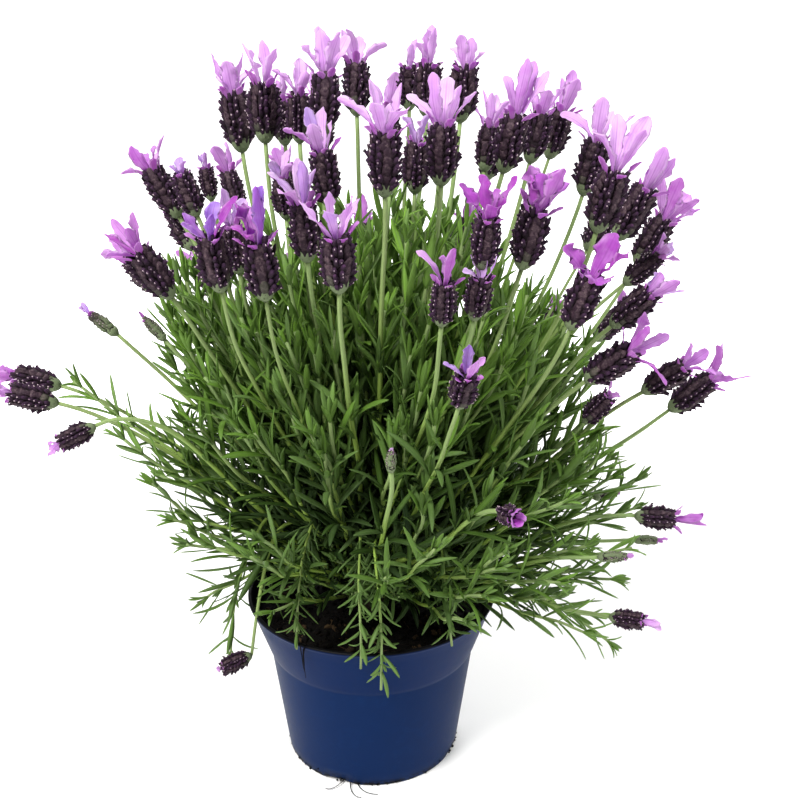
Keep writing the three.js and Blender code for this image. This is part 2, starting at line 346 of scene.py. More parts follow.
@dataclass(frozen=True)
class LeafFinish:
    """Grey-green leaf: darker above, felted and paler below, with a pale midrib; leaves deep in the plant take
    a dark colour as painted shade.
    """

    name: str = "leaf"
    old_and_shaded: Colour = (0.007, 0.025, 0.005, 1)
    young_and_lit: Colour = (0.215, 0.430, 0.040, 1)
    dusty: Colour = (0.175, 0.255, 0.120, 1)
    below: Colour = (0.16, 0.26, 0.075, 1)
    midrib: Colour = (0.24, 0.34, 0.09, 1)

    def make(self) -> bpy.types.Material:
        """Makes the material.

        Returns:
            The material.
        """
        recipe = Recipe(self.name)
        chance, along, side, age = recipe.tint()
        across = recipe.across()
        mottle = recipe.noise(420.0)
        # Painted shade: the fourth tint number mixes the dark colour into old leaves and leaves deep in the
        # plant, and the pale colour into young and outer leaves.
        green = recipe.mix(age, self.old_and_shaded, self.young_and_lit)
        # Painted shade also dims the dust, midrib and underside on shaded leaves.
        shown = 0.15 + age * 0.85
        green = recipe.mix((chance * chance * 1.5 * mottle * shown).held(), green, self.dusty)
        green = recipe.mix((1 - across.over(0.0, 0.28)) * 0.45 * side * shown, green, self.midrib)
        green = recipe.mix((1 - side) * 0.55 * shown, green, self.below)
        green = recipe.mix(along.over(0.9, 1.0) * 0.25 * shown, green, self.dusty)
        inputs = {
            "Base Color": green,
            "Roughness": 0.55 - mottle * 0.12,
            "Specular IOR Level": 0.2,
            "Normal": recipe.bump(recipe.noise(1900.0, 2.0), 0.25, 0.0003),
        }
        return recipe.finish(inputs, 0.25, green)


@dataclass(frozen=True)
class StemFinish:
    """Square stem: green-brown and woody below, yellow-green, then pale grey-green under the flowers."""

    name: str = "stem"
    woody: Colour = (0.12, 0.12, 0.045, 1)
    leafy: Colour = (0.29, 0.46, 0.065, 1)
    pale: Colour = (0.25, 0.36, 0.13, 1)

    def make(self) -> bpy.types.Material:
        """Makes the material.

        Returns:
            The material.
        """
        recipe = Recipe(self.name)
        chance, along, _side, _age = recipe.tint()
        stops = [(0.0, self.woody), (0.18, self.leafy), (0.55, self.leafy), (0.85, self.pale)]
        body = recipe.ramp(along, stops)
        fuzz = recipe.noise(900.0, 2.0)
        body = recipe.mix(fuzz.over(0.45, 0.8) * 0.35, body, self.pale)
        body = recipe.mix(chance * 0.3, body, self.woody)
        inputs = {
            "Base Color": body,
            "Roughness": 0.55 + fuzz * 0.2,
            "Specular IOR Level": 0.3,
            "Normal": recipe.bump(fuzz, 0.25, 0.0003),
        }
        return recipe.finish(inputs)


@dataclass(frozen=True)
class SpikeFinish:
    """Velvety dark calyx, violet towards its mouth."""

    name: str = "calyx"
    dark: Colour = (0.013, 0.006, 0.010, 1)
    violet: Colour = (0.038, 0.012, 0.042, 1)
    fuzz: Colour = (0.092, 0.058, 0.088, 1)
    green: Colour = (0.15, 0.18, 0.10, 1)

    def make(self) -> bpy.types.Material:
        """Makes the material.

        Returns:
            The material.
        """
        recipe = Recipe(self.name)
        chance, along, _side, age = recipe.tint()
        hairs = recipe.noise(1600.0, 3.0)
        body = recipe.mix(along.over(0.45, 1.0) * 0.8, self.dark, self.violet)
        body = recipe.mix(hairs.over(0.5, 0.85) * (0.25 + chance * 0.35), body, self.fuzz)
        body = recipe.mix(age, self.green, body)
        inputs = {
            "Base Color": body,
            "Roughness": 0.7 + hairs * 0.2,
            "Specular IOR Level": 0.25,
            "Normal": recipe.bump(hairs, 0.5, 0.0004),
        }
        return recipe.finish(inputs)


@dataclass(frozen=True)
class ScaleFinish:
    """Papery bract scale of the spike: brown-grey, veined, greener near the stem."""

    name: str = "scale"
    grey: Colour = (0.080, 0.047, 0.060, 1)
    tan: Colour = (0.210, 0.150, 0.150, 1)
    plum: Colour = (0.021, 0.007, 0.016, 1)
    green: Colour = (0.165, 0.215, 0.110, 1)

    def make(self) -> bpy.types.Material:
        """Makes the material.

        Returns:
            The material.
        """
        recipe = Recipe(self.name)
        chance, along, _side, age = recipe.tint()
        across = recipe.across()
        grain = recipe.noise(1300.0, 3.0)
        blotch = recipe.noise(520.0, 2.0).over(0.42, 0.6)
        body = recipe.mix(blotch * (0.3 + chance * 0.7), self.plum, self.grey)
        body = recipe.mix(grain.over(0.5, 0.7) * blotch * 0.6, body, self.tan)
        body = recipe.mix((1 - along.over(0.2, 0.55)) * 0.7 + across * across * 0.45, body, self.plum)
        body = recipe.mix(age, self.green, body)
        inputs = {
            "Base Color": body,
            "Roughness": 0.6 + grain * 0.25,
            "Specular IOR Level": 0.3,
            "Normal": recipe.bump(grain + across * 0.4, 0.4, 0.0004),
        }
        return recipe.finish(inputs)


@dataclass(frozen=True)
class GlintFinish:
    """The dried edge of a floret, a pale speck in each calyx, made pale as a painted glint."""

    name: str = "floret_edge"
    pale: Colour = (0.60, 0.46, 0.51, 1)
    violet: Colour = (0.17, 0.10, 0.16, 1)

    def make(self) -> bpy.types.Material:
        """Makes the material.

        Returns:
            The material.
        """
        recipe = Recipe(self.name)
        chance, along, _side, _age = recipe.tint()
        # Painted glint: the pale colour makes the speck read as a highlight; the violet is the floret's own.
        body = recipe.mix((chance * 0.5 + (1 - along) * 0.2).held(), self.pale, self.violet)
        return recipe.finish({"Base Color": body, "Roughness": 0.35})


@dataclass(frozen=True)
class CorollaFinish:
    """Tiny open floret, deep violet."""

    name: str = "floret"
    deep: Colour = (0.014, 0.006, 0.016, 1)
    bright: Colour = (0.060, 0.020, 0.060, 1)

    def make(self) -> bpy.types.Material:
        """Makes the material.

        Returns:
            The material.
        """
        recipe = Recipe(self.name)
        chance, along, _side, _age = recipe.tint()
        body = recipe.mix(along.over(0.4, 1.0) * chance, self.deep, self.bright)
        return recipe.finish({"Base Color": body, "Roughness": 0.6, "Specular IOR Level": 0.2})


@dataclass(frozen=True)
class BractFinish:
    """Petal-like bract: magenta-violet to pale lilac, finely veined and thin enough to glow."""

    name: str = "bract"
    magenta: Colour = (0.49, 0.092, 0.59, 1)
    lilac: Colour = (0.87, 0.52, 0.97, 1)
    rose: Colour = (0.66, 0.12, 0.52, 1)
    blue: Colour = (0.42, 0.27, 0.80, 1)
    pale: Colour = (0.96, 0.79, 0.98, 1)
    vein: Colour = (0.34, 0.06, 0.42, 1)

    def make(self) -> bpy.types.Material:
        """Makes the material.

        Returns:
            The material.
        """
        recipe = Recipe(self.name)
        chance, along, side, age = recipe.tint()
        across = recipe.across()
        cloud = recipe.noise(160.0, 2.0)
        fine = recipe.noise(900.0, 3.0)
        petal = recipe.mix(age, self.magenta, self.lilac)
        petal = recipe.mix(chance.over(0.6, 0.95) * 0.75, petal, self.blue)
        petal = recipe.mix(chance.over(0.6, 0.0) * (1 - age) * 0.3, petal, self.rose)
        petal = recipe.mix((age * 0.6 + cloud * 0.9 - 0.42).held(), petal, self.pale)
        petal = recipe.mix((1 - along.over(0.05, 0.45)) * 0.3, petal, self.magenta)
        rib = (1 - across.over(0.0, 0.12)) * 0.45
        strands = (across * 21.0 + fine * 1.5).wave().over(0.4, 1.0) * 0.32
        petal = recipe.mix((rib + strands) * (1 - along * 0.7), petal, self.vein)
        petal = recipe.mix(across.over(0.75, 1.0) * 0.35, petal, self.pale)
        petal = recipe.mix((1 - side) * 0.25, petal, self.magenta)
        inputs = {
            "Base Color": petal,
            "Roughness": 0.5 + fine * 0.15,
            "Specular IOR Level": 0.25,
            "Normal": recipe.bump(strands + fine * 0.5, 0.3, 0.0004),
        }
        return recipe.finish(inputs, 0.45, petal)


@dataclass(frozen=True)
class PotFinish:
    """Blown blue plastic, satin outside and black inside, with dust and scuffs, painted shade on its flared
    band and a dark foot that is partly dirt and partly painted shadow.
    """

    name: str = "pot_plastic_blue"
    blue: Colour = (0.003, 0.017, 0.074, 1)
    worn: Colour = (0.004, 0.025, 0.100, 1)
    shaded: Colour = (0.0005, 0.013, 0.072, 1)
    inside: Colour = (0.006, 0.006, 0.007, 1)
    dirt_and_shadow: Colour = (0.0022, 0.0017, 0.0014, 1)

    def make(self) -> bpy.types.Material:
        """Makes the material.

        Returns:
            The material.
        """
        recipe = Recipe(self.name)
        _chance, along, side, age = recipe.tint()
        scuffs = recipe.noise(90.0, 5.0, 0.7, 1.5)
        grain = recipe.noise(700.0, 2.0)
        body = recipe.mix(scuffs.over(0.5, 0.8) * 0.5, self.blue, self.worn)
        # Painted shade: the flared band, marked by the fourth tint number, is darkened with the shaded blue.
        body = recipe.mix(age * 0.6, body, self.shaded)
        specks = (1 - recipe.cells(55.0).over(0.02, 0.05)) * scuffs.over(0.5, 0.6)
        body = recipe.mix(specks, body, self.dirt_and_shadow)
        # Darker towards the foot: dirt, and painted shadow where the pot meets the floor.
        foot = (1 - along.over(0.015, 0.045)) * recipe.noise(320.0, 3.0).over(0.42, 0.5)
        body = recipe.mix(foot, body, self.dirt_and_shadow)
        body = recipe.mix(side, body, self.inside)
        inputs = {
            "Base Color": body,
            "Roughness": (0.32 + scuffs * 0.16 + specks * 0.3).held(),
            "Specular IOR Level": 0.04,
            "Normal": recipe.bump(grain * 0.4 + scuffs, 0.12, 0.0006),
        }
        return recipe.finish(inputs)


@dataclass(frozen=True)
class SoilFinish:
    """Wet black peat compost with brown fibre."""

    name: str = "compost"
    black: Colour = (0.0016, 0.0013, 0.0012, 1)
    brown: Colour = (0.008, 0.0045, 0.003, 1)
    straw: Colour = (0.08, 0.05, 0.025, 1)

    def make(self) -> bpy.types.Material:
        """Makes the material.

        Returns:
            The material.
        """
        recipe = Recipe(self.name)
        chance, _along, _side, _age = recipe.tint()
        crumbs = recipe.noise(520.0, 5.0, 0.65)
        body = recipe.mix(crumbs.over(0.45, 0.72), self.black, self.brown)
        body = recipe.mix(chance.over(0.86, 0.96) * 0.8, body, self.straw)
        inputs = {
            "Base Color": body,
            "Roughness": 0.86 + crumbs * 0.12,
            "Specular IOR Level": 0.15,
            "Normal": recipe.bump(crumbs, 0.9, 0.0015),
        }
        return recipe.finish(inputs)


@dataclass(frozen=True)
class BarkFinish:
    """Grey-brown fibrous bark."""

    name: str = "bark"
    grey: Colour = (0.13, 0.10, 0.07, 1)
    brown: Colour = (0.045, 0.028, 0.016, 1)

    def make(self) -> bpy.types.Material:
        """Makes the material.

        Returns:
            The material.
        """
        recipe = Recipe(self.name)
        strips = recipe.noise(300.0, 5.0, 0.7, 2.0)
        body = recipe.mix(strips.over(0.35, 0.65), self.brown, self.grey)
        inputs = {
            "Base Color": body,
            "Roughness": 0.85,
            "Normal": recipe.bump(strips, 0.8, 0.0012),
        }
        return recipe.finish(inputs)


@dataclass(frozen=True)
class FloorFinish:
    """Plain white, for the tabletop and, glowing by itself, for what lies beyond it."""

    name: str = "tabletop"
    white: Colour = (0.90, 0.895, 0.885, 1)
    glow: float = 0.14

    def make(self) -> bpy.types.Material:
        """Makes the material.

        Returns:
            The material.
        """
        recipe = Recipe(self.name)
        inputs = {
            "Base Color": self.white,
            "Roughness": 0.75,
            "Specular IOR Level": 0.2,
            "Emission Color": self.white,
            "Emission Strength": self.glow,
        }
        return recipe.finish(inputs)


class Finish(Enum):
    """Every finish of the plant and its pot."""

    LEAF = LeafFinish()
    STEM = StemFinish()
    CALYX = SpikeFinish()
    SCALE = ScaleFinish()
    GLINT = GlintFinish()
    FLORET = CorollaFinish()
    BRACT = BractFinish()
    POT = PotFinish()
    SOIL = SoilFinish()
    BARK = BarkFinish()

    def material(self) -> bpy.types.Material:
        """The finish's material, made on first use."""
        found = bpy.data.materials.get(self.value.name)
        return found or self.value.make()


# ------------------------------------------------------------------ meshes


@dataclass
class Surface:
    """Gathers closed tubes and blades into one mesh."""

    finishes: list[Finish]
    points: list[Array] = field(default_factory=list)
    tints: list[Array] = field(default_factory=list)
    rims: list[Array] = field(default_factory=list)
    faces: list[list[int]] = field(default_factory=list)
    slots: list[int] = field(default_factory=list)
    count: int = 0

    def tubes(self, points: Array, tint: Array, finish: Finish, across: Any = 0.0) -> None:
        """Adds closed tubes that all have the same number of stations and corners.

        Args:
            points: Tubes by stations by corners by three, corners anticlockwise seen from the tip.
            tint: Four numbers that broadcast to tubes by stations by corners.
            finish: Their finish.
            across: One number that broadcasts likewise.
        """
        tubes, stations, corners, _ = points.shape
        here = np.arange(tubes * stations * corners).reshape(tubes, stations, corners) + self.count
        next_corner = np.roll(here, -1, axis=2)
        quads = np.stack([here[:, :-1], next_corner[:, :-1], next_corner[:, 1:], here[:, 1:]], axis=-1)
        self.faces.extend(quads.reshape(-1, 4).tolist())
        self.faces.extend(here[:, 0, ::-1].tolist())
        self.faces.extend(here[:, -1].tolist())
        added = tubes * (stations - 1) * corners + 2 * tubes
        self.slots.extend([self.finishes.index(finish)] * added)
        self.points.append(points.reshape(-1, 3))
        self.tints.append(np.broadcast_to(tint, (tubes, stations, corners, 4)).reshape(-1, 4))
        self.rims.append(np.broadcast_to(across, (tubes, stations, corners)).reshape(-1))
        self.count += tubes * stations * corners

    def blades(self, points: Array, shape: "BladeShape", chance: Array, age: Any, finish: Finish) -> None:
        """Adds closed blades of one shape.

        Args:
            points: What the shape grew.
            shape: The shape.
            chance: A number from 0 to 1 for each blade.
            age: From 0 to 1 for each blade or all of them, rising with youth and, on leaves, falling with
                painted shade.
            finish: Their finish.
        """
        self.tubes(points, shape.tint(chance, age), finish, shape.across())

    def place(self, matrix: Array) -> None:
        """Moves all that was gathered so far by a 4 by 4 matrix."""
        self.points = [p @ matrix[:3, :3].T + matrix[:3, 3] for p in self.points]

    def take(self, other: "Surface") -> None:
        """Adds everything that another surface gathered.

        Args:
            other: The other surface.
        """
        shift = self.count
        self.faces.extend([[index + shift for index in face] for face in other.faces])
        to_slot = [self.finishes.index(finish) for finish in other.finishes]
        self.slots.extend(to_slot[slot] for slot in other.slots)
        self.points.extend(other.points)
        self.tints.extend(other.tints)
        self.rims.extend(other.rims)
        self.count += other.count

    def build(self, name: str) -> bpy.types.Object:
        """Makes the object, smooth-shaded, at the origin.

        Args:
            name: Its name.

        Returns:
            The object.
        """
        mesh = bpy.data.meshes.new(name)
        mesh.from_pydata(np.concatenate(self.points).tolist(), [], self.faces)
        for finish in self.finishes:
            mesh.materials.append(finish.material())
        mesh.polygons.foreach_set("material_index", self.slots)
        mesh.polygons.foreach_set("use_smooth", [True] * len(mesh.polygons))
        tint = mesh.attributes.new("tint", "FLOAT_COLOR", "POINT")
        tint.data.foreach_set("color", np.concatenate(self.tints).astype(np.float32).ravel())
        across = mesh.attributes.new("across", "FLOAT", "POINT")
        across.data.foreach_set("value", np.concatenate(self.rims).astype(np.float32).ravel())
        mesh.update()
        made = bpy.data.objects.new(name, mesh)
        bpy.context.scene.collection.objects.link(made)
        return made


def settle(piece: bpy.types.Object, slot: str, *nodes: str) -> None:
    """Fixes a finished piece to the frame.

    Args:
        piece: The piece, already in place.
        slot: The record's material slot; not used.
        nodes: The nodes that it stands for.
    """
    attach(piece, "root")
    if nodes:
        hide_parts(*nodes)
    LOG.info("%s: %d faces", piece.name, len(piece.data.polygons))


@dataclass(frozen=True)
class BladeShape:
    """Outline and cross-section that blades of one kind share."""

    outline: tuple[tuple[float, float], ...]  # share of the length, share of the half width
    section: tuple[tuple[float, float], ...]  # across, and thickness, anticlockwise seen from the tip

    def grow(self, root: Array, along: Array, face: Array, length: Array, half_width: Array,
             thickness: Array, bend: Array, twist: Any = 0.0, cup: Any = 0.0, ruffle: Any = 0.0,
             fray: float = 0.0, phase: Any = 0.0) -> Array:
        """Shapes many blades at once.

        Args:
            root: Where each blade starts.
            along: The direction that it starts in.
            face: The direction that its upper face looks in, square to along.
            length: Its length.
            half_width: Half its greatest width.
            thickness: Its greatest thickness.
            bend: Radians that it bends by, away from its upper face.
            twist: Radians that it twists by.
            cup: How far its edges rise, as a share of the half width.
            ruffle: The height of its wavy edge, as a share of the half width.
            fray: How unevenly its edge runs, likewise.
            phase: Where its waves start, in radians.

        Returns:
            Points, blades by stations by corners by three.
        """
        count = len(root)
        share = np.array([s for s, _ in self.outline])[None, :, None]
        wide = np.array([w for _, w in self.outline])[None, :, None]
        u = np.array([a for a, _ in self.section])[None, None, :]
        v = np.array([t for _, t in self.section])[None, None, :]

        def spread(value: Any) -> Array:
            """A value for each blade, ready to combine with stations and corners."""
            return np.broadcast_to(np.asarray(value, float), (count,))[:, None, None]

        turn = spread(bend)
        turn = np.where(np.abs(turn) < 1e-3, 1e-3, turn)
        arc = turn * share
        reach, full = spread(length), spread(half_width)
        a, f = along[:, None, None, :], face[:, None, None, :]
        middle = root[:, None, None, :] + reach[..., None] * (
            a * (np.sin(arc) / turn)[..., None] + f * ((np.cos(arc) - 1) / turn)[..., None]
        )
        ahead = a * np.cos(arc)[..., None] - f * np.sin(arc)[..., None]
        up = f * np.cos(arc)[..., None] + a * np.sin(arc)[..., None]
        side = np.cross(up, ahead)
        roll = spread(twist) * share
        side, up = (
            side * np.cos(roll)[..., None] + up * np.sin(roll)[..., None],
            up * np.cos(roll)[..., None] - side * np.sin(roll)[..., None],
        )
        start = spread(phase)
        waves = (np.sin(share * 13.0 + np.sign(u) * 1.3 + start)
                 + 0.5 * np.sin(share * 27.0 - u * 2.0 + start * 3))
        waves = waves * np.abs(u) ** 1.5
        ragged = (np.sin(share * 38.0 + np.sign(u) * 2.1 + start * 5)
                  + np.sin(share * 21.0 - np.sign(u) + start * 2))
        x = u * wide * full * (1 + fray * ragged * np.abs(u))
        rise = spread(cup) * u**2 + spread(ruffle) * waves
        y = v * spread(thickness) * np.sqrt(wide) + full * wide * rise
        return middle + side * x[..., None] + up * y[..., None]

    def across(self) -> Array:
        """Distance from the midrib for each corner."""
        return np.abs(np.array([a for a, _ in self.section]))[None, None, :]

    def tint(self, chance: Array, age: Any) -> Array:
        """The four painted numbers of each vertex.

        Args:
            chance: A number from 0 to 1 for each blade.
            age: From 0 to 1 for each blade or all of them, rising with youth and, on leaves, falling with
                painted shade.

        Returns:
            An array of blades by stations by corners by four.
        """
        count, stations, corners = len(chance), len(self.outline), len(self.section)
        tint = np.zeros((count, stations, corners, 4))
        tint[..., 0] = np.asarray(chance)[:, None, None]
        tint[..., 1] = np.array([s for s, _ in self.outline])[None, :, None]
        tint[..., 2] = (np.array([t for _, t in self.section]) > -0.05)[None, None, :]
        tint[..., 3] = np.broadcast_to(np.asarray(age, float), (count,))[:, None, None]
        return tint


def round_section(corners: int) -> tuple[tuple[float, float], ...]:
    """A circle of corners, for tubes and beads."""
    turns = [2 * math.pi * i / corners for i in range(corners)]
    return tuple((math.cos(t), math.sin(t)) for t in turns)


LEAF = BladeShape(
    ((0.0, 0.34), (0.12, 0.56), (0.3, 0.87), (0.5, 1.0), (0.68, 0.95), (0.84, 0.7), (0.94, 0.4),
     (1.0, 0.08)),
    ((-1.0, -0.3), (0.0, -0.75), (1.0, -0.3), (0.55, 0.3), (0.0, -0.12), (-0.55, 0.3)),
)
PETAL = BladeShape(
    ((0.0, 0.36), (0.1, 0.38), (0.2, 0.48), (0.3, 0.62), (0.4, 0.77), (0.49, 0.89), (0.58, 0.97), (0.67, 1.0),
     (0.76, 0.98), (0.84, 0.89), (0.91, 0.7), (0.965, 0.43), (1.0, 0.14)),
    ((-1.0, 0.0), (-0.66, -0.5), (-0.33, -0.5), (0.0, -0.5), (0.33, -0.5), (0.66, -0.5), (1.0, 0.0),
     (0.66, 0.5), (0.33, 0.5), (0.0, 0.5), (-0.33, 0.5), (-0.66, 0.5)),
)
SCALE = BladeShape(
    ((0.0, 0.7), (0.3, 0.95), (0.6, 1.0), (0.82, 0.72), (0.95, 0.35), (1.0, 0.1)),
    ((-1.0, 0.0), (-0.5, -0.5), (0.0, -0.5), (0.5, -0.5), (1.0, 0.0),
     (0.5, 0.5), (0.0, 0.5), (-0.5, 0.5)),
)
CALYX = BladeShape(
    ((0.0, 0.45), (0.25, 0.95), (0.55, 1.0), (0.85, 0.78), (1.0, 0.6)),
    round_section(6),
)
CRUMB = BladeShape(((0.0, 0.35), (0.3, 0.9), (0.7, 1.0), (1.0, 0.4)), round_section(6))
TRUMPET = BladeShape(((0.0, 0.4), (0.55, 0.55), (0.85, 1.0), (1.0, 0.85)), round_section(6))
BEAD = BladeShape(((0.0, 0.35), (0.45, 1.0), (1.0, 0.3)), round_section(5))


# ------------------------------------------------------------------ routes of stems


@dataclass
class Route:
    """A stem's way through the air, with a steady frame along it."""

    points: Array
    ahead: Array
    side: Array
    length: float

    @classmethod
    def through(cls, controls: Array, steps: int, sway: float = 0.0, seed: int = 0) -> "Route":
        """Follows a cubic curve.

        Args:
            controls: Its four control points.
            steps: How many stretches it has.
            sway: How far the stem wanders from the curve.
            seed: For the wandering.

        Returns:
            The route.
        """
        t = np.linspace(0, 1, 4 * steps + 1)[:, None]
        a, b, c, d = controls
        points = a * (1 - t) ** 3 + 3 * b * t * (1 - t) ** 2 + 3 * c * t**2 * (1 - t) + d * t**3
        if sway:
            rng = np.random.default_rng(seed)
            phase, rate = rng.uniform(0, 6.3, (2, 3)), rng.uniform(4, 9, (2, 3))
            hold = (np.sin(np.pi * t) ** 0.8) * sway
            swing = np.sin(rate[0] * t + phase[0]) + 0.5 * np.sin(2 * rate[1] * t + phase[1])
            points = points + hold * swing
        walked = np.concatenate([[0.0], np.cumsum(np.linalg.norm(np.diff(points, axis=0), axis=1))])
        even = np.linspace(0, walked[-1], steps + 1)
        points = np.stack([np.interp(even, walked, row) for row in points.T], axis=-1)
        ahead = unit(np.gradient(points, axis=0))
        side = np.zeros_like(points)
        first = np.array([0.0, 0.0, 1.0]) if abs(ahead[0][2]) < 0.9 else np.array([1.0, 0.0, 0.0])
        previous = unit(np.cross(ahead[0], first))
        for index, direction in enumerate(ahead):
            previous = unit(previous - direction * (previous @ direction))
            side[index] = previous
        length = float(np.linalg.norm(np.diff(points, axis=0), axis=1).sum())
        return cls(points, ahead, side, length)

    def at(self, shares: Array) -> tuple[Array, Array, Array]:
        """Looks up shares of the length.

        Args:
            shares: Shares from 0 to 1.

        Returns:
            Places, directions and sides.
        """
        grid = np.linspace(0, 1, len(self.points))
        picked = [np.stack([np.interp(shares, grid, row) for row in block.T], axis=-1)
                  for block in (self.points, self.ahead, self.side)]
        ahead = unit(picked[1])
        side = unit(picked[2] - ahead * (picked[2] * ahead).sum(-1, keepdims=True))
        return picked[0], ahead, side

    def tube(self, thick: float, thin: float) -> tuple[Array, Array]:
        """A square-shouldered stem along the route.

        Args:
            thick: Radius where it starts.
            thin: Radius at its tip.

        Returns:
            Points and tint of one tube.
        """
        turns = around(8)
        square = 1 + 0.13 * np.cos(4 * turns)
        radius = np.linspace(thick, thin, len(self.points))[:, None, None]
        other = np.cross(self.ahead, self.side)
        ring = (self.side[:, None, :] * (np.cos(turns) * square)[None, :, None]
                + other[:, None, :] * (np.sin(turns) * square)[None, :, None])
        points = (self.points[:, None, :] + ring * radius)[None]
        tint = np.zeros((1, len(self.points), 8, 4))
        tint[..., 1] = np.linspace(0, 1, len(self.points))[None, :, None]
        return points, tint


# ------------------------------------------------------------------ leaves


@dataclass(frozen=True)
class LeafHabit:
    """How leaves sit on a shoot: opposite pairs, each turned a quarter from the last."""

    first: float = 0.1  # share of the shoot where leaves start
    last: float = 0.7
    between: float = 14 * MM
    longest: float = 36 * MM
    shortest: float = 20 * MM
    half_width: float = 2.0 * MM
    thickness: float = 0.75 * MM
    spread: float = 31.0
    lift: float = 0.22  # how strongly leaves turn up to the light
    tuft: float = 1.1  # small leaves in each axil, on average
    stem: float = 1.2 * MM
    fresh: float = 0.0  # added to the leaves' freshness, which brightens them both as new growth and as painted light
    dust: float = 0.0  # how grey they all are, at least
    light_reach: float = 185 * MM  # from the crown, where leaves are as pale as they get
    open_to_light: tuple[float, float, float] = (1.4, 1.0, 1.0)
    rosette: int = 0  # leaves bunched at the tip

    def cover(self, surface: Surface, route: Route, seed: int) -> None:
        """Grows the leaves of one shoot.

        Args:
            surface: Takes the blades.
            route: The shoot's stem.
            seed: For the chance in their sizes and turns.
        """
        rng = np.random.default_rng(seed)
        span = (self.last - self.first) * route.length
        nodes = max(2, int(span / self.between))
        steps = np.arange(nodes) + rng.uniform(-0.2, 0.2, nodes)
        shares = self.first + steps / nodes * (self.last - self.first)
        turn = rng.uniform(0, 6.3)
        rows: list[tuple[float, float, float, float, float]] = []
        for index, share in enumerate(shares):
            height = (share - self.first) / max(self.last - self.first, 1e-6)
            for half in (0.0, math.pi):
                angle = turn + index * math.pi / 2 + half + rng.normal(0, 0.16)
                fullness = math.sin(math.pi * (0.25 + 0.6 * height))
                size = self.shortest + (self.longest - self.shortest) * fullness
                rows.append((share, angle, size * rng.uniform(0.82, 1.15),
                             self.spread * rng.uniform(0.7, 1.25), 1.0))
                for _ in range(rng.poisson(self.tuft)):
                    rows.append((share, angle + rng.normal(0, 0.7), size * rng.uniform(0.28, 0.62),
                                 self.spread * rng.uniform(0.2, 0.85), 0.72))
        for _ in range(self.rosette):
            rows.append((self.last, rng.uniform(0, 6.3), self.shortest * rng.uniform(0.5, 1.05),
                         rng.uniform(4, 24), 0.75))
        share, angle, length, spread, broad = np.array(rows).T
        place, ahead, side = route.at(share)
        other = np.cross(ahead, side)
        outward = side * np.cos(angle)[:, None] + other * np.sin(angle)[:, None]
        tilt = np.radians(spread)[:, None]
        up = np.array([0.0, 0.0, self.lift])
        along = unit(ahead * np.cos(tilt) + outward * np.sin(tilt) + up)
        face = ahead * np.sin(tilt) - outward * np.cos(tilt) + up
        face = unit(face - along * (face * along).sum(-1, keepdims=True))
        count = len(rows)
        bend = rng.normal(0.34, 0.4, count)
        points = LEAF.grow(place + outward * 0.5 * MM, along, face, length,
                           self.half_width * broad * rng.uniform(0.8, 1.15, count), self.thickness, bend,
                           twist=rng.normal(0, 0.35, count), cup=-0.12)
        height = np.clip((share - self.first) / max(self.last - self.first, 1e-6), 0, 1)
        # Painted shade: leaves near the crown, deep inside the plant, are darkened; those out toward
        # light_reach are not.
        away = np.linalg.norm((place - route.points[0]) * self.open_to_light, axis=1)
        lit = 0.09 + 0.91 * np.clip(away / self.light_reach, 0, 1) ** 2.3
        grown = 0.22 + 0.75 * height + rng.normal(0, 0.2, count)
        age = np.clip(grown * lit + self.fresh * height, 0, 1)
        chance = self.dust + (1 - self.dust) * rng.uniform(0, 1, count)
        surface.blades(points, LEAF, chance, age, Finish.LEAF)


ROSETTE = 7


class Habit(Enum):
    """Every kind of shoot that carries leaves only."""

    TALL = LeafHabit(last=0.97, between=13 * MM, longest=35 * MM, shortest=20 * MM, stem=1.1 * MM,
                     spread=28.0, rosette=ROSETTE)
    LOW = LeafHabit(last=0.97, between=12 * MM, longest=28 * MM, shortest=14 * MM, half_width=1.5 * MM,
                    stem=0.95 * MM, spread=33.0, fresh=0.34, dust=0.4, rosette=ROSETTE)
    FINE = LeafHabit(first=0.2, last=0.97, between=6 * MM, longest=15 * MM, shortest=8 * MM,
                     stem=0.6 * MM, half_width=1.1 * MM, thickness=0.6 * MM, spread=42.0, fresh=0.2,
                     dust=0.5, rosette=ROSETTE)
    HANGING = LeafHabit(first=0.3, last=0.97, between=5.5 * MM, longest=16 * MM, shortest=9 * MM,
                        stem=0.7 * MM, half_width=1.2 * MM, spread=48.0, lift=-0.1, fresh=0.4, dust=0.85)


# ------------------------------------------------------------------ flower heads


class HeadKind(Enum):
    """How far a flower head has come."""

    FULL = "full"
    BUD = "bud"


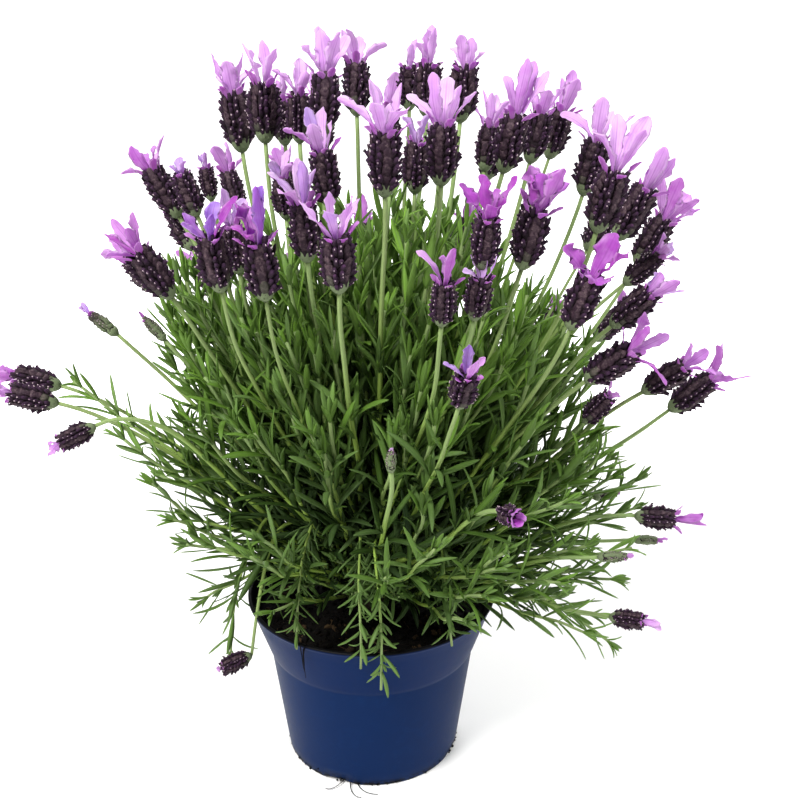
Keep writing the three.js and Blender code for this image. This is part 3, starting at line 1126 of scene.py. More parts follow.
@dataclass(frozen=True)
class FlowerHead:
    """A dark spike of calyces and papery scales under a crown of coloured bracts."""

    bracts: int = 5
    opening: float = 28.0
    colour: float = 0.5  # 0 magenta to 1 pale lilac
    size: float = 1.0
    reach: float = 1.0  # length of the bracts
    breadth: float = 1.0
    kind: HeadKind = HeadKind.FULL
    blue: float = 0.0  # share of bracts that are blue-lilac
    crinkle: float = 1.0
    ripe: float = 1.0  # how far a bud has darkened
    leafed: float = 0.7  # share of its stem that carries leaves
    spike: float = 28 * MM
    radius: float = 8.0 * MM
    rows: int = 8
    ranks: int = 4  # of scales, with a pair of ranks of calyces between each two
    cup_scales: int = 6
    cup_length: float = 8.4 * MM
    cup_half_width: float = 3.6 * MM
    scale_length: float = 6.0 * MM
    scale_half_width: float = 2.9 * MM
    calyx_length: float = 5.3 * MM
    calyx_radius: float = 1.35 * MM
    glint_edged: float = 0.72  # share of the calyces with a dried floret edge, a pale speck that is also a painted glint
    glint_edge_length: float = 1.1 * MM
    glint_edge_radius: float = 0.45 * MM
    opened: float = 0.15  # share of the calyces with an open floret
    floret_length: float = 1.6 * MM
    floret_radius: float = 0.85 * MM
    bract_length: float = 24 * MM
    bract_half_width: float = 3.95 * MM
    collar_length: float = 9.5 * MM
    collar_half_width: float = 2.2 * MM

    @property
    def closed(self) -> bool:
        """Whether the head is a bud."""
        return self.kind is HeadKind.BUD

    def radius_at(self, share: Array) -> Array:
        """The spike's radius.

        Args:
            share: Shares of its height.

        Returns:
            The radius at each.
        """
        stops = [0.0, 0.08, 0.2, 0.45, 0.75, 0.92, 1.0]
        radii = [0.2, 0.6, 0.88, 1.0, 0.98, 0.84, 0.5]
        if self.closed:
            radii = [0.2, 0.5, 0.74, 0.86, 0.72, 0.5, 0.3]
        return np.interp(share, stops, radii) * self.radius

    def ring(self, angle: Array, height: Array, inset: float, tilt: Array) -> tuple[Array, Array, Array]:
        """Roots, directions and outward faces for things that stand round the spike.

        Args:
            angle: Radians about the spike.
            height: Share of its height.
            inset: How far under its surface they start.
            tilt: Radians from upright.

        Returns:
            Roots, directions along and outward faces.
        """
        outward = np.stack([np.cos(angle), np.sin(angle), np.zeros_like(angle)], axis=-1)
        up = np.array([0.0, 0.0, 1.0])
        reach = np.maximum(self.radius_at(height) - inset, 0.6 * MM)
        root = outward * reach[:, None] + up * (height * self.spike)[:, None]
        along = outward * np.sin(tilt)[:, None] + up * np.cos(tilt)[:, None]
        face = outward * np.cos(tilt)[:, None] - up * np.sin(tilt)[:, None]
        return root, along, face

    def grow(self, seed: int) -> Surface:
        """Builds the head standing on the origin.

        Args:
            seed: For the chance in its pieces.

        Returns:
            The gathered surface.
        """
        rng = np.random.default_rng(seed)
        surface = Surface([Finish.CALYX, Finish.SCALE, Finish.GLINT, Finish.FLORET, Finish.BRACT])
        self.core(surface)
        self.cup(surface, rng)
        self.scales(surface, rng)
        self.florets(surface, rng)
        self.crown(surface, rng)
        return surface

    def core(self, surface: Surface) -> None:
        """The dark body that closes the spike.

        Args:
            surface: Takes it.
        """
        shares = np.array([0.0, 0.06, 0.16, 0.4, 0.75, 0.9, 0.97, 1.0])
        radii = self.radius_at(shares) * np.array([0.9, 0.8, 0.76, 0.76, 0.76, 0.7, 0.5, 0.12])
        points = turned(radii, shares * self.spike, around(12))
        surface.tubes(points, np.array([0.2, 0.1, 1.0, 1.0]), Finish.CALYX)

    def cup(self, surface: Surface, rng: np.random.Generator) -> None:
        """Pale green scales that hold the spike at its foot.

        Args:
            surface: Takes them.
            rng: For the chance in them.
        """
        count = self.cup_scales
        angle = np.arange(count) * 2 * math.pi / count + rng.normal(0, 0.08, count)
        root, along, face = self.ring(angle, np.full(count, 0.005), 0.0, np.full(count, 0.95))
        root[:, :2] *= 0.8
        points = SCALE.grow(root, along, face, np.full(count, self.cup_length), self.cup_half_width,
                            0.55 * MM, 1.0, cup=-0.4)
        surface.blades(points, SCALE, rng.uniform(0, 0.5, count), 0.12, Finish.SCALE)

    def scales(self, surface: Surface, rng: np.random.Generator) -> None:
        """Ranks of broad papery scales.

        Args:
            surface: Takes them.
            rng: For the chance in them.
        """
        rows = self.rows - 1
        rank, row = np.meshgrid(np.arange(self.ranks), np.arange(rows), indexing="ij")
        rank, row = rank.ravel(), row.ravel()
        height = 0.09 + (row + 0.5 * (rank % 2)) / rows * 0.82
        angle = rank * math.pi / 2 + rng.normal(0, 0.05, len(rank))
        tilt = np.where(height > 0.8, 0.05, 0.26) + rng.normal(0, 0.12, len(rank))
        root, along, face = self.ring(angle, height, 1.9 * MM, tilt)
        count = len(rank)
        width = self.scale_half_width * (0.7 + 0.3 * self.radius_at(height) / self.radius)
        points = SCALE.grow(root, along, face, self.scale_length * rng.uniform(0.85, 1.15, count),
                            width * rng.uniform(0.72, 1.1, count), 0.5 * MM, 0.4, cup=-0.16, ruffle=0.14,
                            fray=0.12, phase=rng.uniform(0, 6.3, count))
        age = (np.clip(height * 1.5 - 0.3, 0.0, 0.85) * self.ripe if self.closed
               else np.clip(height * 4.0, 0.15, 1.0))
        surface.blades(points, SCALE, rng.uniform(0, 1, count), age, Finish.SCALE)

    def florets(self, surface: Surface, rng: np.random.Generator) -> None:
        """Paired ranks of calyces, with their pale specks, dried floret edges that are also painted glints,
        and small open florets.

        Args:
            surface: Takes them.
            rng: For the chance in them.
        """
        ranks = np.array([45 + 90 * i + side * 12.5 for i in range(self.ranks) for side in (-1, 1)])
        rank, row = np.meshgrid(np.radians(ranks), np.arange(self.rows), indexing="ij")
        offset = np.tile(np.array([0.0, 0.45]), self.ranks)[:, None]
        height = (0.11 + (row + offset) / self.rows * 0.84).ravel()
        height = np.clip(height + rng.normal(0, 0.008, rank.size), 0.05, 0.95)
        angle = rank.ravel() + rng.normal(0, 0.06, rank.size)
        tilt = np.interp(height, [0.1, 0.5, 0.95], [0.95, 0.78, 0.35]) + rng.normal(0, 0.12, rank.size)
        tilt = tilt * (0.45 if self.closed else 1.0)
        root, along, face = self.ring(angle, height, 3.4 * MM, tilt)
        count = rank.size
        length = self.calyx_length * rng.uniform(0.85, 1.15, count)
        calyces = CALYX.grow(root, along, face, length, self.calyx_radius, self.calyx_radius, 0.15)
        age = np.clip(height * 1.5 - 0.3, 0.1, 0.85) * self.ripe if self.closed else 1.0
        surface.blades(calyces, CALYX, rng.uniform(0, 1, count), age, Finish.CALYX)

        mouth = root + along * length[:, None]
        # Painted glint: a pale bead in the mouth of most calyces, which also stands for the floret's dried
        # edge.
        bead = rng.uniform(0, 1, count) < self.glint_edged
        seat = mouth[bead] - along[bead] * 0.5 * MM + face[bead] * 0.5 * MM
        specks = BEAD.grow(seat, along[bead], face[bead], self.glint_edge_length,
                           self.glint_edge_radius * rng.uniform(0.6, 1.2, bead.sum()), 0.42 * MM, 0.0)
        surface.blades(specks, BEAD, rng.uniform(0, 1, bead.sum()), 1.0, Finish.GLINT)
        opened = rng.uniform(0, 1, count) < self.opened
        trumpets = TRUMPET.grow(mouth[opened] - along[opened] * 0.4 * MM, along[opened], face[opened],
                                self.floret_length, self.floret_radius, self.floret_radius, 0.0)
        surface.blades(trumpets, TRUMPET, rng.uniform(0, 1, opened.sum()), 1.0, Finish.FLORET)

    def crown(self, surface: Surface, rng: np.random.Generator) -> None:
        """The coloured bracts on top, and a collar of short ones round their feet.

        Args:
            surface: Takes them.
            rng: For the chance in them.
        """
        if self.bracts:
            count = self.bracts
            angle = np.arange(count) / count * 2 * math.pi + rng.normal(0, 0.16, count)
            tilt = np.radians(self.opening) * rng.uniform(0.55, 1.2, count)
            root, along, face = self.ring(angle, np.full(count, 0.93), 5.2 * MM, tilt)
            length = self.bract_length * self.reach * rng.uniform(0.72, 1.16, count)
            width = self.bract_half_width * self.breadth * rng.uniform(0.78, 1.15, count)
            points = PETAL.grow(root, along, -face, length, width, 0.42 * MM,
                                rng.normal(0.1, 0.45, count), twist=rng.normal(0, 0.45, count),
                                cup=rng.uniform(0.15, 0.6, count),
                                ruffle=rng.uniform(0.13, 0.34, count) * self.crinkle,
                                fray=0.09 * self.crinkle, phase=rng.uniform(0, 6.3, count))
            age = np.clip(self.colour + rng.normal(0, 0.12, count), 0, 1)
            blue = np.where(rng.uniform(0, 1, count) < self.blue, rng.uniform(0.7, 1, count),
                            rng.uniform(0, 0.6, count))
            surface.blades(points, PETAL, blue, age, Finish.BRACT)
        short = 3 if self.closed else 5
        angle = rng.uniform(0, 6.3, 1) + np.arange(short) * 2 * math.pi / short + rng.normal(0, 0.2, short)
        tilt = rng.uniform(0.15, 0.8, short)
        root, along, face = self.ring(angle, np.full(short, 0.9), 3.0 * MM, tilt)
        length = self.collar_length * min(self.reach, 1.0) * rng.uniform(0.6, 1.3, short)
        points = PETAL.grow(root, along, -face, length, self.collar_half_width, 0.4 * MM, 0.3, cup=0.25,
                            ruffle=0.12, fray=0.06, phase=rng.uniform(0, 6.3, short))
        surface.blades(points, PETAL, rng.uniform(0, 0.5, short), 0.2, Finish.BRACT)


# ------------------------------------------------------------------ the plant


def standing(place: Array, axis: Array, turn: float, size: float) -> Array:
    """A matrix that stands +Z along an axis at a place.

    Args:
        place: Where it stands.
        axis: The direction of +Z.
        turn: Radians about it.
        size: Scale.

    Returns:
        A 4 by 4 matrix.
    """
    swing = Vector((0, 0, 1)).rotation_difference(Vector(axis)).to_matrix().to_4x4()
    roll = Matrix.Rotation(turn, 4, "Z")
    whole = Matrix.Translation(Vector(place)) @ swing @ roll @ Matrix.Scale(size, 4)
    return np.array(whole)


@dataclass(frozen=True)
class Bloom:
    """One flower head of the plant, from the crown's centre in millimetres."""

    at: tuple[float, float, float]
    lean: float
    toward: float
    head: FlowerHead = field(default_factory=FlowerHead)


BUD = HeadKind.BUD
FRAMED_HEADS = (
    FlowerHead(5, 28, 0.95, 1.14),
    FlowerHead(5, 26, 0.95, 1.06, 1.12),
    FlowerHead(4, 15, 0.85, 1.0, 0.95, 0.85),
    FlowerHead(6, 40, 0.85, 1.06, 1.05, 0.95),
    FlowerHead(3, 16, 0.75, 1.0, 1.05, 1.25),
    FlowerHead(4, 20, 0.6, 1.05, 1.1, 1.05),
    FlowerHead(4, 20, 0.8, 1.1, 1.1, 1.0),
    FlowerHead(6, 34, 0.4, 1.08, 1.05, 1.0, crinkle=1.5),
    FlowerHead(4, 44, 0.0, 1.05, 1.0, 1.3, crinkle=1.3),
    FlowerHead(4, 46, 0.2, 1.05, 1.0, 0.85),
    FlowerHead(5, 44, 0.25, 1.0, 1.05, 0.85),
    FlowerHead(5, 34, 0.35, 1.0, 0.9, 0.9),
    FlowerHead(5, 42, 0.3, 1.05, 0.95, 0.75),
    FlowerHead(5, 26, 0.15, 1.05, 1.05, 1.1, blue=0.3, crinkle=1.7),
    FlowerHead(5, 36, 0.75, 1.0, 0.95, 0.85, blue=0.35),
    FlowerHead(4, 34, 0.5, 0.78, 0.8, 0.75, blue=0.5, leafed=0.88),
    FlowerHead(4, 24, 0.35, 0.92, 0.6, 0.9),
    FlowerHead(3, 18, 0.4, 0.7, 0.6, 0.9),
    FlowerHead(4, 30, 0.3, 0.6, 0.7, 1.1, leafed=0.84),
    FlowerHead(3, 12, 0.15, 0.8, 1.0, 0.9),
    FlowerHead(3, 12, 0.8, 0.66, 0.75, 0.8),
    FlowerHead(4, 26, 0.85, 0.95),
    FlowerHead(4, 28, 0.8, 0.95),
    FlowerHead(5, 28, 0.6, 0.95),
    FlowerHead(4, 28, 0.6, 0.95),
    FlowerHead(4, 26, 0.45, 0.95),
    FlowerHead(4, 30, 0.4, 0.95),
    FlowerHead(4, 26, 0.35, 0.95),
)

FREE_BLOOMS = (
    Bloom((-57, 25, 284), 5, 100, FlowerHead(4, 22, 0.95, 1.1)),
    Bloom((-53, 85, 273), 8, 120, FlowerHead(5, 24, 0.75, 0.88, 0.8, 0.8)),
    Bloom((-37, 15, 282), 4, 90, FlowerHead(3, 16, 0.9, 0.88, 0.9)),
    Bloom((-8, 70, 294), 5, 90, FlowerHead(4, 30, 0.85, 1.05, 1.0, 1.0)),
    Bloom((23, 110, 292), 5, 90, FlowerHead(3, 8, 0.8, 0.9, 0.9, 0.8, blue=0.5)),
    Bloom((51, 20, 294), 5, 10, FlowerHead(4, 26, 0.85, 1.0, 0.8, 0.75)),
    Bloom((38, -45, 270), 6, 280, FlowerHead(5, 36, 0.85, 1.05, 1.05, 0.95)),
    Bloom((26, 20, 255), 5, 60, FlowerHead(2, 10, 0.9, 0.95, 0.8, blue=0.9)),
    Bloom((69, 70, 260), 10, 45, FlowerHead(4, 14, 0.9, 0.92, 1.15, 0.9)),
    Bloom((96, 60, 267), 14, 30, FlowerHead(4, 34, 0.65, 1.0)),
    Bloom((122, 20, 255), 14, 10, FlowerHead(4, 34, 0.8, 1.05, 1.05)),
    Bloom((142, 0, 233), 28, 0, FlowerHead(5, 30, 0.6, 1.08, 1.05, 1.05)),
    Bloom((57, -85, 234), 10, 300, FlowerHead(5, 38, 0.1, 0.9, 1.0, 1.15, crinkle=1.7)),
    Bloom((79, -70, 233), 14, 320, FlowerHead(7, 24, 0.12, 1.06, 1.0, 1.15, crinkle=1.9)),
    Bloom((139, -30, 188), 45, 345, FlowerHead(4, 34, 0.7, 0.95, 0.8, 1.0, blue=0.8)),
    Bloom((154, 20, 198), 50, 5, FlowerHead(4, 30, 0.75, 0.85, 0.9, 1.0, blue=0.6)),
    Bloom((158, -35, 151), 52, 345, FlowerHead(3, 28, 0.5, 0.92, 0.8, 0.9)),
    Bloom((-93, -15, 246), 18, 190, FlowerHead(3, 18, 0.6, 0.82, 0.5, 0.8, blue=0.9)),
    Bloom((-94, 50, 242), 10, 150, FlowerHead(3, 14, 0.9, 0.66, 0.7, 0.7, blue=1.0)),
    Bloom((-71, -75, 222), 14, 240, FlowerHead(5, 36, 0.2, 1.0, 0.9, 0.85, blue=0.3, crinkle=1.4)),
    Bloom((-68, -30, 220), 8, 220, FlowerHead(4, 28, 0.8, 0.9, blue=0.6)),
    Bloom((-29, -60, 234), 8, 250, FlowerHead(5, 26, 0.85, 1.0, 1.05, 0.85, blue=0.5)),
    Bloom((-21, -20, 255), 8, 200, FlowerHead(5, 36, 0.8, 1.0, 1.0, 0.9, blue=0.5)),
    Bloom((-44, -10, 243), 5, 200, FlowerHead(4, 18, 0.9, 0.75, 0.9, blue=0.8)),
    Bloom((37, -100, 209), 15, 280, FlowerHead(3, 18, 0.45, 0.8, 1.1, 1.15)),
    Bloom((54, -85, 208), 14, 300, FlowerHead(4, 34, 0.85, 0.8, 0.8, 0.8, blue=0.9)),
    Bloom((-104, 20, 228), 25, 175, FlowerHead(3, 20, 0.4, 0.85, 0.7)),
    Bloom((-151, 10, 169), 50, 180, FlowerHead(2, 8, 0.8, 0.66, 0.75, 0.8, BUD, blue=1.0)),
    Bloom((-114, -25, 176), 38, 190, FlowerHead(1, 4, 0.3, 0.55, 0.6, 0.6, BUD, ripe=0.5)),
    Bloom((-182, -28, 138), 74, 187, FlowerHead(3, 22, 0.6, 0.9, 0.6, 0.9)),
    Bloom((171, 25, 25), 95, 8, FlowerHead(2, 14, 0.3, 0.55, 0.6, 0.8, BUD, ripe=0.4)),
    Bloom((132, -60, 58), 76, 335, FlowerHead(2, 10, 0.4, 0.55, 0.5, 0.8, BUD, ripe=0.35)),
    Bloom((147, 40, 49), 85, 15, FlowerHead(0, 14, 0.4, 0.6, 0.5, 0.8, BUD, ripe=0.5)),
    Bloom((124, -30, 132), 40, 345, FlowerHead(3, 22, 0.4, 0.75, 0.6, 0.8)),
    Bloom((13, -115, 137), 20, 270, FlowerHead(1, 6, 0.95, 0.45, 0.5, 0.8, BUD, ripe=0.0)),
    Bloom((-78, -40, -21), 104, 205, FlowerHead(1, 14, 0.5, 0.66, 0.35, 0.8)),
    Bloom((-60, 160, 222), 32, 110),
    Bloom((10, 125, 264), 14, 90, FlowerHead(4, 26, 0.8)),
    Bloom((75, 122, 248), 22, 60, FlowerHead(5, 28, 0.7)),
    Bloom((-122, 108, 204), 38, 135, FlowerHead(4, 28, 0.5)),
    Bloom((142, 96, 206), 36, 35, FlowerHead(4, 28, 0.5)),
    Bloom((60, 172, 186), 46, 70, FlowerHead(4, 26, 0.4)),
    Bloom((-60, 166, 148), 60, 110, FlowerHead(4, 24, 0.4)),
    Bloom((118, 146, 128), 60, 50, FlowerHead(4, 26, 0.4)),
    Bloom((-114, 150, 160), 56, 130, FlowerHead(4, 24, 0.4)),
    Bloom((0, 172, 104), 78, 90, FlowerHead(3, 20, 0.4, 0.9)),
    Bloom((-112, 132, 92), 78, 130, FlowerHead(3, 20, 0.4, 0.9)),
    Bloom((92, 158, 64), 84, 60, FlowerHead(2, 16, 0.4, 0.75, 1.0, 1.0, BUD)),
)

# Sprays: the tip from the crown's centre in millimetres, its lean and the way that it leans, in degrees.
LOW_SPRAYS = (
    ((-100, -12, 4), 106, 190),
    ((-84, -26, -28), 150, 200),
    ((-138, -30, 118), 44, 186),
    ((-166, -10, 142), 52, 182),
    ((-124, -20, 84), 40, 188),
    ((-96, -50, 66), 48, 205),
    ((-112, 30, 80), 40, 165),
    ((145, -20, -22), 104, 355),
    ((130, -40, 10), 92, 345),
    ((148, 0, 54), 72, 0),
    ((128, -30, 34), 80, 350),
    ((104, -72, 40), 66, 320),
    ((134, 24, 84), 50, 10),
    ((136, -20, 100), 44, 355),
    ((-52, -70, 30), 74, 235),
    ((52, -86, 34), 72, 300),
    ((10, -112, 74), 52, 275),
    ((-58, -98, 78), 48, 240),
    ((72, -96, 80), 50, 305),
)
SIDE_SPRAYS = (
    ((-104, 10, 200), 14, 180),
    ((-92, -20, 189), 18, 200),
    ((-104, 0, 164), 24, 185),
    ((-96, -30, 150), 26, 200),
    ((-95, 30, 206), 12, 170),
    ((-110, 40, 178), 20, 170),
    ((-70, 10, 200), 10, 185),
    ((-42, 20, 204), 6, 120),
    ((-84, -52, 158), 24, 215),
    ((126, -20, 112), 40, 350),
    ((140, -10, 84), 54, 356),
    ((116, 20, 172), 24, 10),
)
FRONT_SPRAYS = (
    ((68, -95, 70), 62, 315),
    ((101, -85, 56), 74, 325),
    ((121, -70, 16), 96, 340),
    ((62, -92, 52), 78, 318),
    ((105, -70, 97), 50, 325),
    ((123, -50, 60), 66, 338),
    ((-54, -90, 84), 44, 240),
    ((34, -116, 92), 44, 300),
)
BACK_SPRAYS = (
    ((-60, 80, 30), 70, 125),
    ((0, 100, 40), 64, 90),
    ((60, 90, 36), 66, 55),
    ((-100, 60, 60), 56, 150),
    ((104, 62, 64), 56, 32),
    ((30, 98, 84), 44, 75),
    ((-40, 102, 90), 42, 110),
)
OUTER_SHOOTS = (
    ((-108, 10, 198), 12, 180),
    ((-102, 30, 196), 10, 175),
    ((-112, 0, 178), 16, 185),
    ((-86, -20, 200), 12, 200),
    ((-98, -25, 168), 20, 200),
    ((-114, 10, 146), 26, 180),
    ((-87, 40, 200), 8, 150),
    ((-79, 60, 204), 6, 120),
    ((130, 10, 140), 34, 5),
    ((128, 30, 150), 28, 12),
    ((112, 40, 170), 22, 20),
    ((114, 0, 178), 24, 0),
    ((-17, 80, 206), 4, 90),
    ((30, 80, 218), 5, 80),
    ((59, 60, 214), 8, 50),
    ((78, 70, 200), 14, 40),
)
OUTER_SPRAYS = (
    ((160, 0, 60), 66, 358),
    ((150, -30, 48), 74, 345),
    ((162, 10, 74), 60, 5),
    ((143, -30, 28), 84, 345),
    ((-116, -10, 56), 70, 190),
    ((-105, -30, 50), 76, 200),
    ((-124, 0, 80), 60, 185),
)
HANGING_SPRAYS = (
    ((7, -87, -8), 158, 275),
    ((-4, -82, 2), 140, 265),
    ((-40, -66, 4), 118, 238),
    ((46, -66, 6), 112, 305),
)


def placed(sprays: Sequence[Spray], habit: Habit) -> list[tuple[Array, Array, Habit]]:
    """Listed sprays in metres, each with its direction and habit."""
    return [(np.array(at) * MM, leaning(lean, toward), habit) for at, lean, toward in sprays]


@dataclass(frozen=True)
class Canopy:
    """The tall dome that leafy shoots fill, steep at its sides and a little wider than deep."""

    shoots: int = 116
    shift: float = 12 * MM  # of the whole dome, toward +X
    radius: float = 102 * MM
    wider: float = 24 * MM
    nearer: float = 10 * MM
    top: float = 236 * MM
    edge: float = 132 * MM
    rise_behind: float = 26 * MM
    lean: float = 18.0
    lean_wider: float = 10.0

    def tip(self, index: int) -> tuple[Array, Array]:
        """Where one shoot ends, from the crown's centre, and the direction that it ends in.

        Args:
            index: The shoot's number.

        Returns:
            The tip and its direction.
        """
        rng = np.random.default_rng(Seed.CANOPY + index)
        turn = index * math.pi * (3 - math.sqrt(5)) + rng.normal(0, 0.15)
        share = ((index + 0.5) / self.shoots) ** 0.46 * rng.uniform(0.92, 1.05)
        sideways, behind = abs(math.cos(turn)), max(0.0, math.sin(turn))
        near = max(0.0, -math.sin(turn))
        edge = self.edge + self.rise_behind * behind
        fall = rng.uniform(0.93, 1.04) - share**2 * rng.triangular(0.0, 0.08, 0.55)
        height = (self.top - (self.top - edge) * share**3) * fall
        radius = share * (self.radius + self.wider * sideways - self.nearer * near)
        lean = (self.lean + self.lean_wider * sideways) * share + rng.normal(0, 6)
        tip = np.array([radius * math.cos(turn) + self.shift * share, radius * math.sin(turn), height])
        return tip, leaning(lean, math.degrees(turn) + rng.normal(0, 16))


@dataclass(frozen=True)
class Undergrowth:
    """Short twigs with small leaves round the foot of the plant."""

    twigs: int = 46
    near: float = 42 * MM
    far: float = 84 * MM

    def tip(self, index: int) -> tuple[Array, Array]:
        """Where one twig ends, from the crown's centre, and the direction that it ends in.

        Args:
            index: The twig's number.

        Returns:
            The tip and its direction.
        """
        rng = np.random.default_rng(Seed.UNDERGROWTH + index)
        turn = index * math.pi * (3 - math.sqrt(5))
        reach, rise = rng.uniform(self.near, self.far), rng.uniform(0.3, 1.05)
        way = np.array([math.cos(turn) * math.cos(rise), math.sin(turn) * math.cos(rise), math.sin(rise)])
        return way * reach + np.array([0, 0, 6 * MM]), unit(way + rng.normal(0, 0.35, 3))


@dataclass
class Plant:
    """The lavender: crown, stems, leaves and flower heads."""

    frame: dict[str, Any]
    branch_reach: float = 27 * MM
    root_depth: float = 18 * MM
    above_soil: float = 9 * MM
    lowest_rise: float = 0.42
    leave_share: float = 0.36
    arrive_share: float = 0.26
    rim_clearance: float = 9 * MM
    clearance: float = 0.3 * MM
    canopy: Canopy = field(default_factory=Canopy)
    undergrowth: Undergrowth = field(default_factory=Undergrowth)
    sectors: int = 8
    centre: Array = field(init=False)
    rim_height: float = field(init=False)
    rim_radius: float = field(init=False)
    starts: list[Array] = field(default_factory=list)

    def __post_init__(self) -> None:
        """Reads the crown's centre and the pot's rim from the frame."""
        low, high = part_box("pot")
        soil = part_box("woody_crown")
        self.rim_height, self.rim_radius = high.z, (high.x - low.x) / 2
        root_top = soil[0].z - self.clearance + self.root_depth
        self.centre = np.array([0.0, 0.0, root_top + self.above_soil])

    def vertices(self, node: str) -> Array:
        """The places of a node's separate vertices.

        Args:
            node: The node's name.

        Returns:
            Its vertices, in metres.
        """
        mesh = self.frame["nodes"][node].data
        places = np.zeros(len(mesh.vertices) * 3)
        mesh.vertices.foreach_get("co", places)
        return np.unique(places.reshape(-1, 3).round(6), axis=0)

    def framed_route(self, number: int) -> tuple[Array, Array, Array]:
        """Where one framed shoot starts and ends, and its flower head's axis.

        Args:
            number: The shoot's number.

        Returns:
            The start, the tip and the axis at the tip.
        """
        shoot = self.vertices(f"shoot_{number:02d}")
        head = self.vertices(f"flower_head_{number:02d}").mean(axis=0)
        near = shoot[np.argsort(np.linalg.norm(shoot - self.centre, axis=1))[:4]]
        far = shoot[np.argsort(np.linalg.norm(shoot - head, axis=1))[:4]]
        tip = far.mean(axis=0)
        spokes = far - tip
        axis = unit(np.cross(spokes[0], spokes[np.argmin(np.abs(spokes[1:] @ spokes[0])) + 1]))
        if axis @ (head - tip) < 0:
            axis = -axis
        return near.mean(axis=0), tip, axis

    def controls(self, start: Array, tip: Array, axis: Array) -> Array:
        """The curve of a stem, raised until it clears the pot's rim.

        Args:
            start: Where it starts.
            tip: Where it ends.
            axis: The direction that it ends in.

        Returns:
            Its four control points.
        """
        outward = unit(start - self.centre)
        span = float(np.linalg.norm(tip - start))
        controls = np.array([start, start + outward * span * self.leave_share,
                             tip - axis * span * self.arrive_share, tip])
        t = np.linspace(0, 1, 25)[:, None]
        for _ in range(40):
            a, b, c, d = controls
            way = a * (1 - t) ** 3 + 3 * b * t * (1 - t) ** 2 + 3 * c * t**2 * (1 - t) + d * t**3
            radius = np.hypot(way[:, 0], way[:, 1])
            over_wall = (radius > self.rim_radius - 20 * MM) & (radius < self.rim_radius + 12 * MM)
            if not np.any(over_wall & (way[:, 2] < self.rim_height + self.rim_clearance)):
                break
            controls[1][2] += 1.5 * MM
            controls[2][2] += 2.5 * MM
        return controls

    def start_toward(self, tip: Array) -> Array:
        """Where a stem leaves the woody crown.

        Args:
            tip: The stem's tip.

        Returns:
            Its start.
        """
        outward = unit(tip - self.centre)
        outward[2] = max(outward[2], self.lowest_rise)
        return self.centre + unit(outward) * (self.branch_reach + self.clearance)

    def stem(self, surface: Surface, route: Route, leaves: LeafHabit, seed: int) -> None:
        """Adds one stem and its leaves.

        Args:
            surface: Takes them.
            route: The stem's way.
            leaves: How its leaves sit.
            seed: For the chance in it.
        """
        points, tint = route.tube(leaves.stem * 1.15, leaves.stem * 0.86)
        tint[..., 0] = np.random.default_rng(seed).uniform(0, 1)
        surface.tubes(points, tint, Finish.STEM)
        leaves.cover(surface, route, seed)

    def framed(self) -> None:
        """Builds the shoots and flower heads that stand for nodes of the frame."""
        numbers = range(1, 1 + sum(name.startswith("shoot_") for name in self.frame["nodes"]))
        rng = np.random.default_rng(Seed.FRAMED_TURNS)
        for number in numbers:
            start, tip, axis = self.framed_route(number)
            self.starts.append(start)
            route = Route.through(self.controls(start, tip, axis), 30, 1.0 * MM, number)
            kind = FRAMED_HEADS[number - 1]
            shoot = Surface([Finish.STEM, Finish.LEAF])
            self.stem(shoot, route, LeafHabit(last=kind.leafed), number)
            settle(shoot.build(f"leafy_stem_{number:02d}"), "foliage", f"shoot_{number:02d}")
            head = kind.grow(Seed.FRAMED_HEAD + number)
            head.place(standing(tip, axis, rng.uniform(0, 6.3), kind.size))
            settle(head.build(f"bloom_{number:02d}"), "flower", f"flower_head_{number:02d}")

    def free(self) -> None:
        """Builds the flowering shoots beyond the framed ones."""
        rng = np.random.default_rng(Seed.FREE_TURNS)
        for index, bloom in enumerate(FREE_BLOOMS, start=1):
            head = bloom.head
            axis = leaning(bloom.lean, bloom.toward)
            tip = self.centre + np.array(bloom.at) * MM - axis * head.spike * head.size / 2
            start = self.start_toward(tip)
            self.starts.append(start)
            seed = Seed.FREE_STEM + index
            route = Route.through(self.controls(start, tip, axis), 30, 1.6 * MM, seed)
            spray = Surface([Finish.STEM, Finish.LEAF, Finish.CALYX, Finish.SCALE, Finish.GLINT,
                             Finish.FLORET, Finish.BRACT])
            self.stem(spray, route, LeafHabit(last=rng.uniform(0.62, 0.76)), seed)
            flower = head.grow(Seed.FREE_HEAD + index)
            flower.place(standing(tip, axis, rng.uniform(0, 6.3), head.size))
            spray.take(flower)
            settle(spray.build(f"flower_spray_{index:02d}"), "flower")

    def leafy(self) -> None:
        """Builds the shoots that carry leaves only, in sectors round the plant, and the low sprays."""
        groups = [Surface([Finish.STEM, Finish.LEAF]) for _ in range(self.sectors)]
        for index, (at, axis, habit) in enumerate(self.leafy_tips()):
            tip = self.centre + at
            seed = Seed.LEAFY_SHOOT + index
            route = Route.through(self.controls(self.start_toward(tip), tip, axis), 24, 2.0 * MM, seed)
            turn = math.atan2(at[1], at[0]) % (2 * math.pi)
            sector = int(turn / (2 * math.pi) * self.sectors) % self.sectors
            self.stem(groups[sector], route, habit.value, seed)
        for number, group in enumerate(groups, start=1):
            settle(group.build(f"leafy_shoots_{number}"), "foliage")

